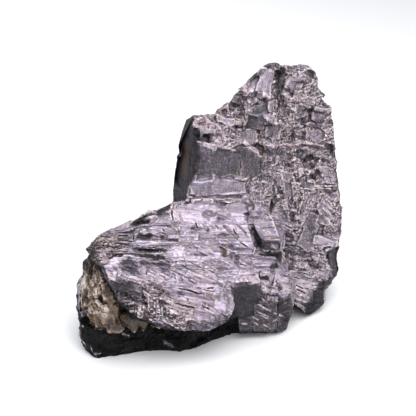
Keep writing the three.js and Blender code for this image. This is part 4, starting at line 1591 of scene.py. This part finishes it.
quartzForm = {
    "voxel": 0.16 * mm,
    "seed": 31,
    "turn": (-35, 22, 74),  # its ridges run down the crust
    "terraces": [
        ((7, 2.4, 2.4), (2.6, 0.9, 0.9), 1.6, 0.5, 0.15),
        ((2.4, 1, 1), (1, 0.5, 0.5), 0.8, 0.25, 0.2),
    ],
    "stepHeight": 0.8,
    "growth": 0.2,  # mm
    # the glassy lobes along its lower edge stay smooth
    "calm": [((-27, -23, 12), 6, 0.3), ((-21, -25, 14), 5, 0.1), ((-15, -26, 14), 5, 0.05)],
    "swells": [((-17.5, -25, 12.5), 4.5, (0, 1.4, 1)), ((-37.5, -12.5, 26), 5, (0.9, 0.3, 0))],
    # rounds of evening for the surface and its normals
    "evening": 8,
    "normals": 6,
    # how much lies between a whole hollow and a whole ridge, in mm, and how many rounds even the surroundings
    "ridges": (0.5, 10),
    "triangles": 60000,
    "milkiness": 0.5,
    "veinWaver": (1, 33),  # how broadly the strips waver, in mm, and the seed
    # soft patterns and the small pieces: how fine, how detailed, and how stretched
    "veilNoise": (0.6, 4, (0.3, 1.2, 1)),
    "gritNoise": (2.4, 3, (0.6, 1.2, 1)),
    "flecks": (2.2, (0.45, 1.3, 1)),
    "milk": (0.74, 0.65, 0.6, 1),
    "honey": (0.2, 0.13, 0.082, 1),
    "brown": (0.034, 0.017, 0.008, 1),
    # how each measure is spread: from low and high, to low and high
    "veil": (0.35, 0.65, 0.2, 0.6),
    "depth": (0.2, 0.8, -0.3, 0.3),
    "vein": (-1, 1, -1.6, 0.6),
    "speckle": (0, 1, -0.22, 0.22),
    "honeyFrom": (0, 0.5),
    "milkFrom": (0.55, 1.1),
    "roughness": (0.3, 0.7, 0.18, 0.4),
    "bump": {"Strength": 0.7, "Distance": 0.2 * mm},
    "lean": 0.7,
    "sheen": {"IOR": 1.54, "Coat Weight": 0.05, "Coat Roughness": 0.12},
}


def makeQuartz():
    quartz = copyOfNode("quartz", "quartzCrust")
    applyModifier(quartz, "REMESH", mode="VOXEL", voxel_size=quartzForm["voxel"])
    links = linksOf(quartz)
    points = evened(links, pointsOf(quartz), quartzForm["evening"])
    setPoints(quartz, points)
    normals = unit(evened(links, normalsOf(quartz), quartzForm["normals"]))
    axes = grainAxes(*quartzForm["turn"])
    calm = patchwork(points, np.ones(len(points)), quartzForm["calm"])
    ragged = softNoise(points, *quartzForm["veinWaver"]) - 0.5
    milk = laidOn(points, np.full(len(points), quartzForm["milkiness"]), veinedAndShaded, ragged)
    for name, values in {"grain": points @ axes.T, "milk": milk, "rough": calm}.items():
        setAttribute(quartz, name, values)
    steps = terraced(points, normals, axes, quartzForm["terraces"], 1, quartzForm["seed"])
    steps *= quartzForm["stepHeight"]
    points += steps * calm[:, None] + normals * quartzForm["growth"]
    points += swell(points, quartzForm["swells"])
    setPoints(quartz, points)
    measureHollows(quartz, links, points, normals, "depth", quartzForm["ridges"])
    thinned(quartz, quartzForm["triangles"])
    return quartz


def paintQuartz(quartz):
    finish = quartzForm
    material, tree, shader = newMaterial("milkyQuartz")
    grain = attributeOf(tree, "grain", "Vector")
    rough = attributeOf(tree, "rough")
    veil = noiseOf(tree, grain, *finish["veilNoise"])
    grit = noiseOf(tree, grain, *finish["gritNoise"])
    flecks = cellsOf(tree, grain, *finish["flecks"])
    milky = rangeOf(tree, veil, *finish["veil"])
    # hollows turn browner and ridges milkier, painted shade and painted highlight, and the veins follow
    for name, spreadName in {"depth": "depth", "milk": "vein"}.items():
        milky = sumOf(tree, milky, rangeOf(tree, attributeOf(tree, name), *finish[spreadName]))
    milky = sumOf(tree, milky, productOf(tree, rangeOf(tree, flecks, *finish["speckle"]), rough))
    colour = blendOf(tree, rangeOf(tree, milky, *finish["honeyFrom"]), finish["brown"], finish["honey"])
    colour = blendOf(tree, rangeOf(tree, milky, *finish["milkFrom"]), colour, finish["milk"])
    feed(tree, shader.inputs["Base Color"], colour)
    feed(tree, shader.inputs["Roughness"], rangeOf(tree, grit, *finish["roughness"]))
    bump = addShader(tree, "ShaderNodeBump", {"Height": grit, **finish["bump"]})
    leaning = leaningNormal(tree, bump.outputs[0], [(flecks, productOf(tree, rough, finish["lean"]))])
    feed(tree, shader.inputs["Normal"], leaning)
    for name, value in finish["sheen"].items():
        shader.inputs[name].default_value = value
    dress(quartz, material)


quartz = makeQuartz()
paintQuartz(quartz)
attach(quartz, "root")
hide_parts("quartz")
print("galena and quartz made")
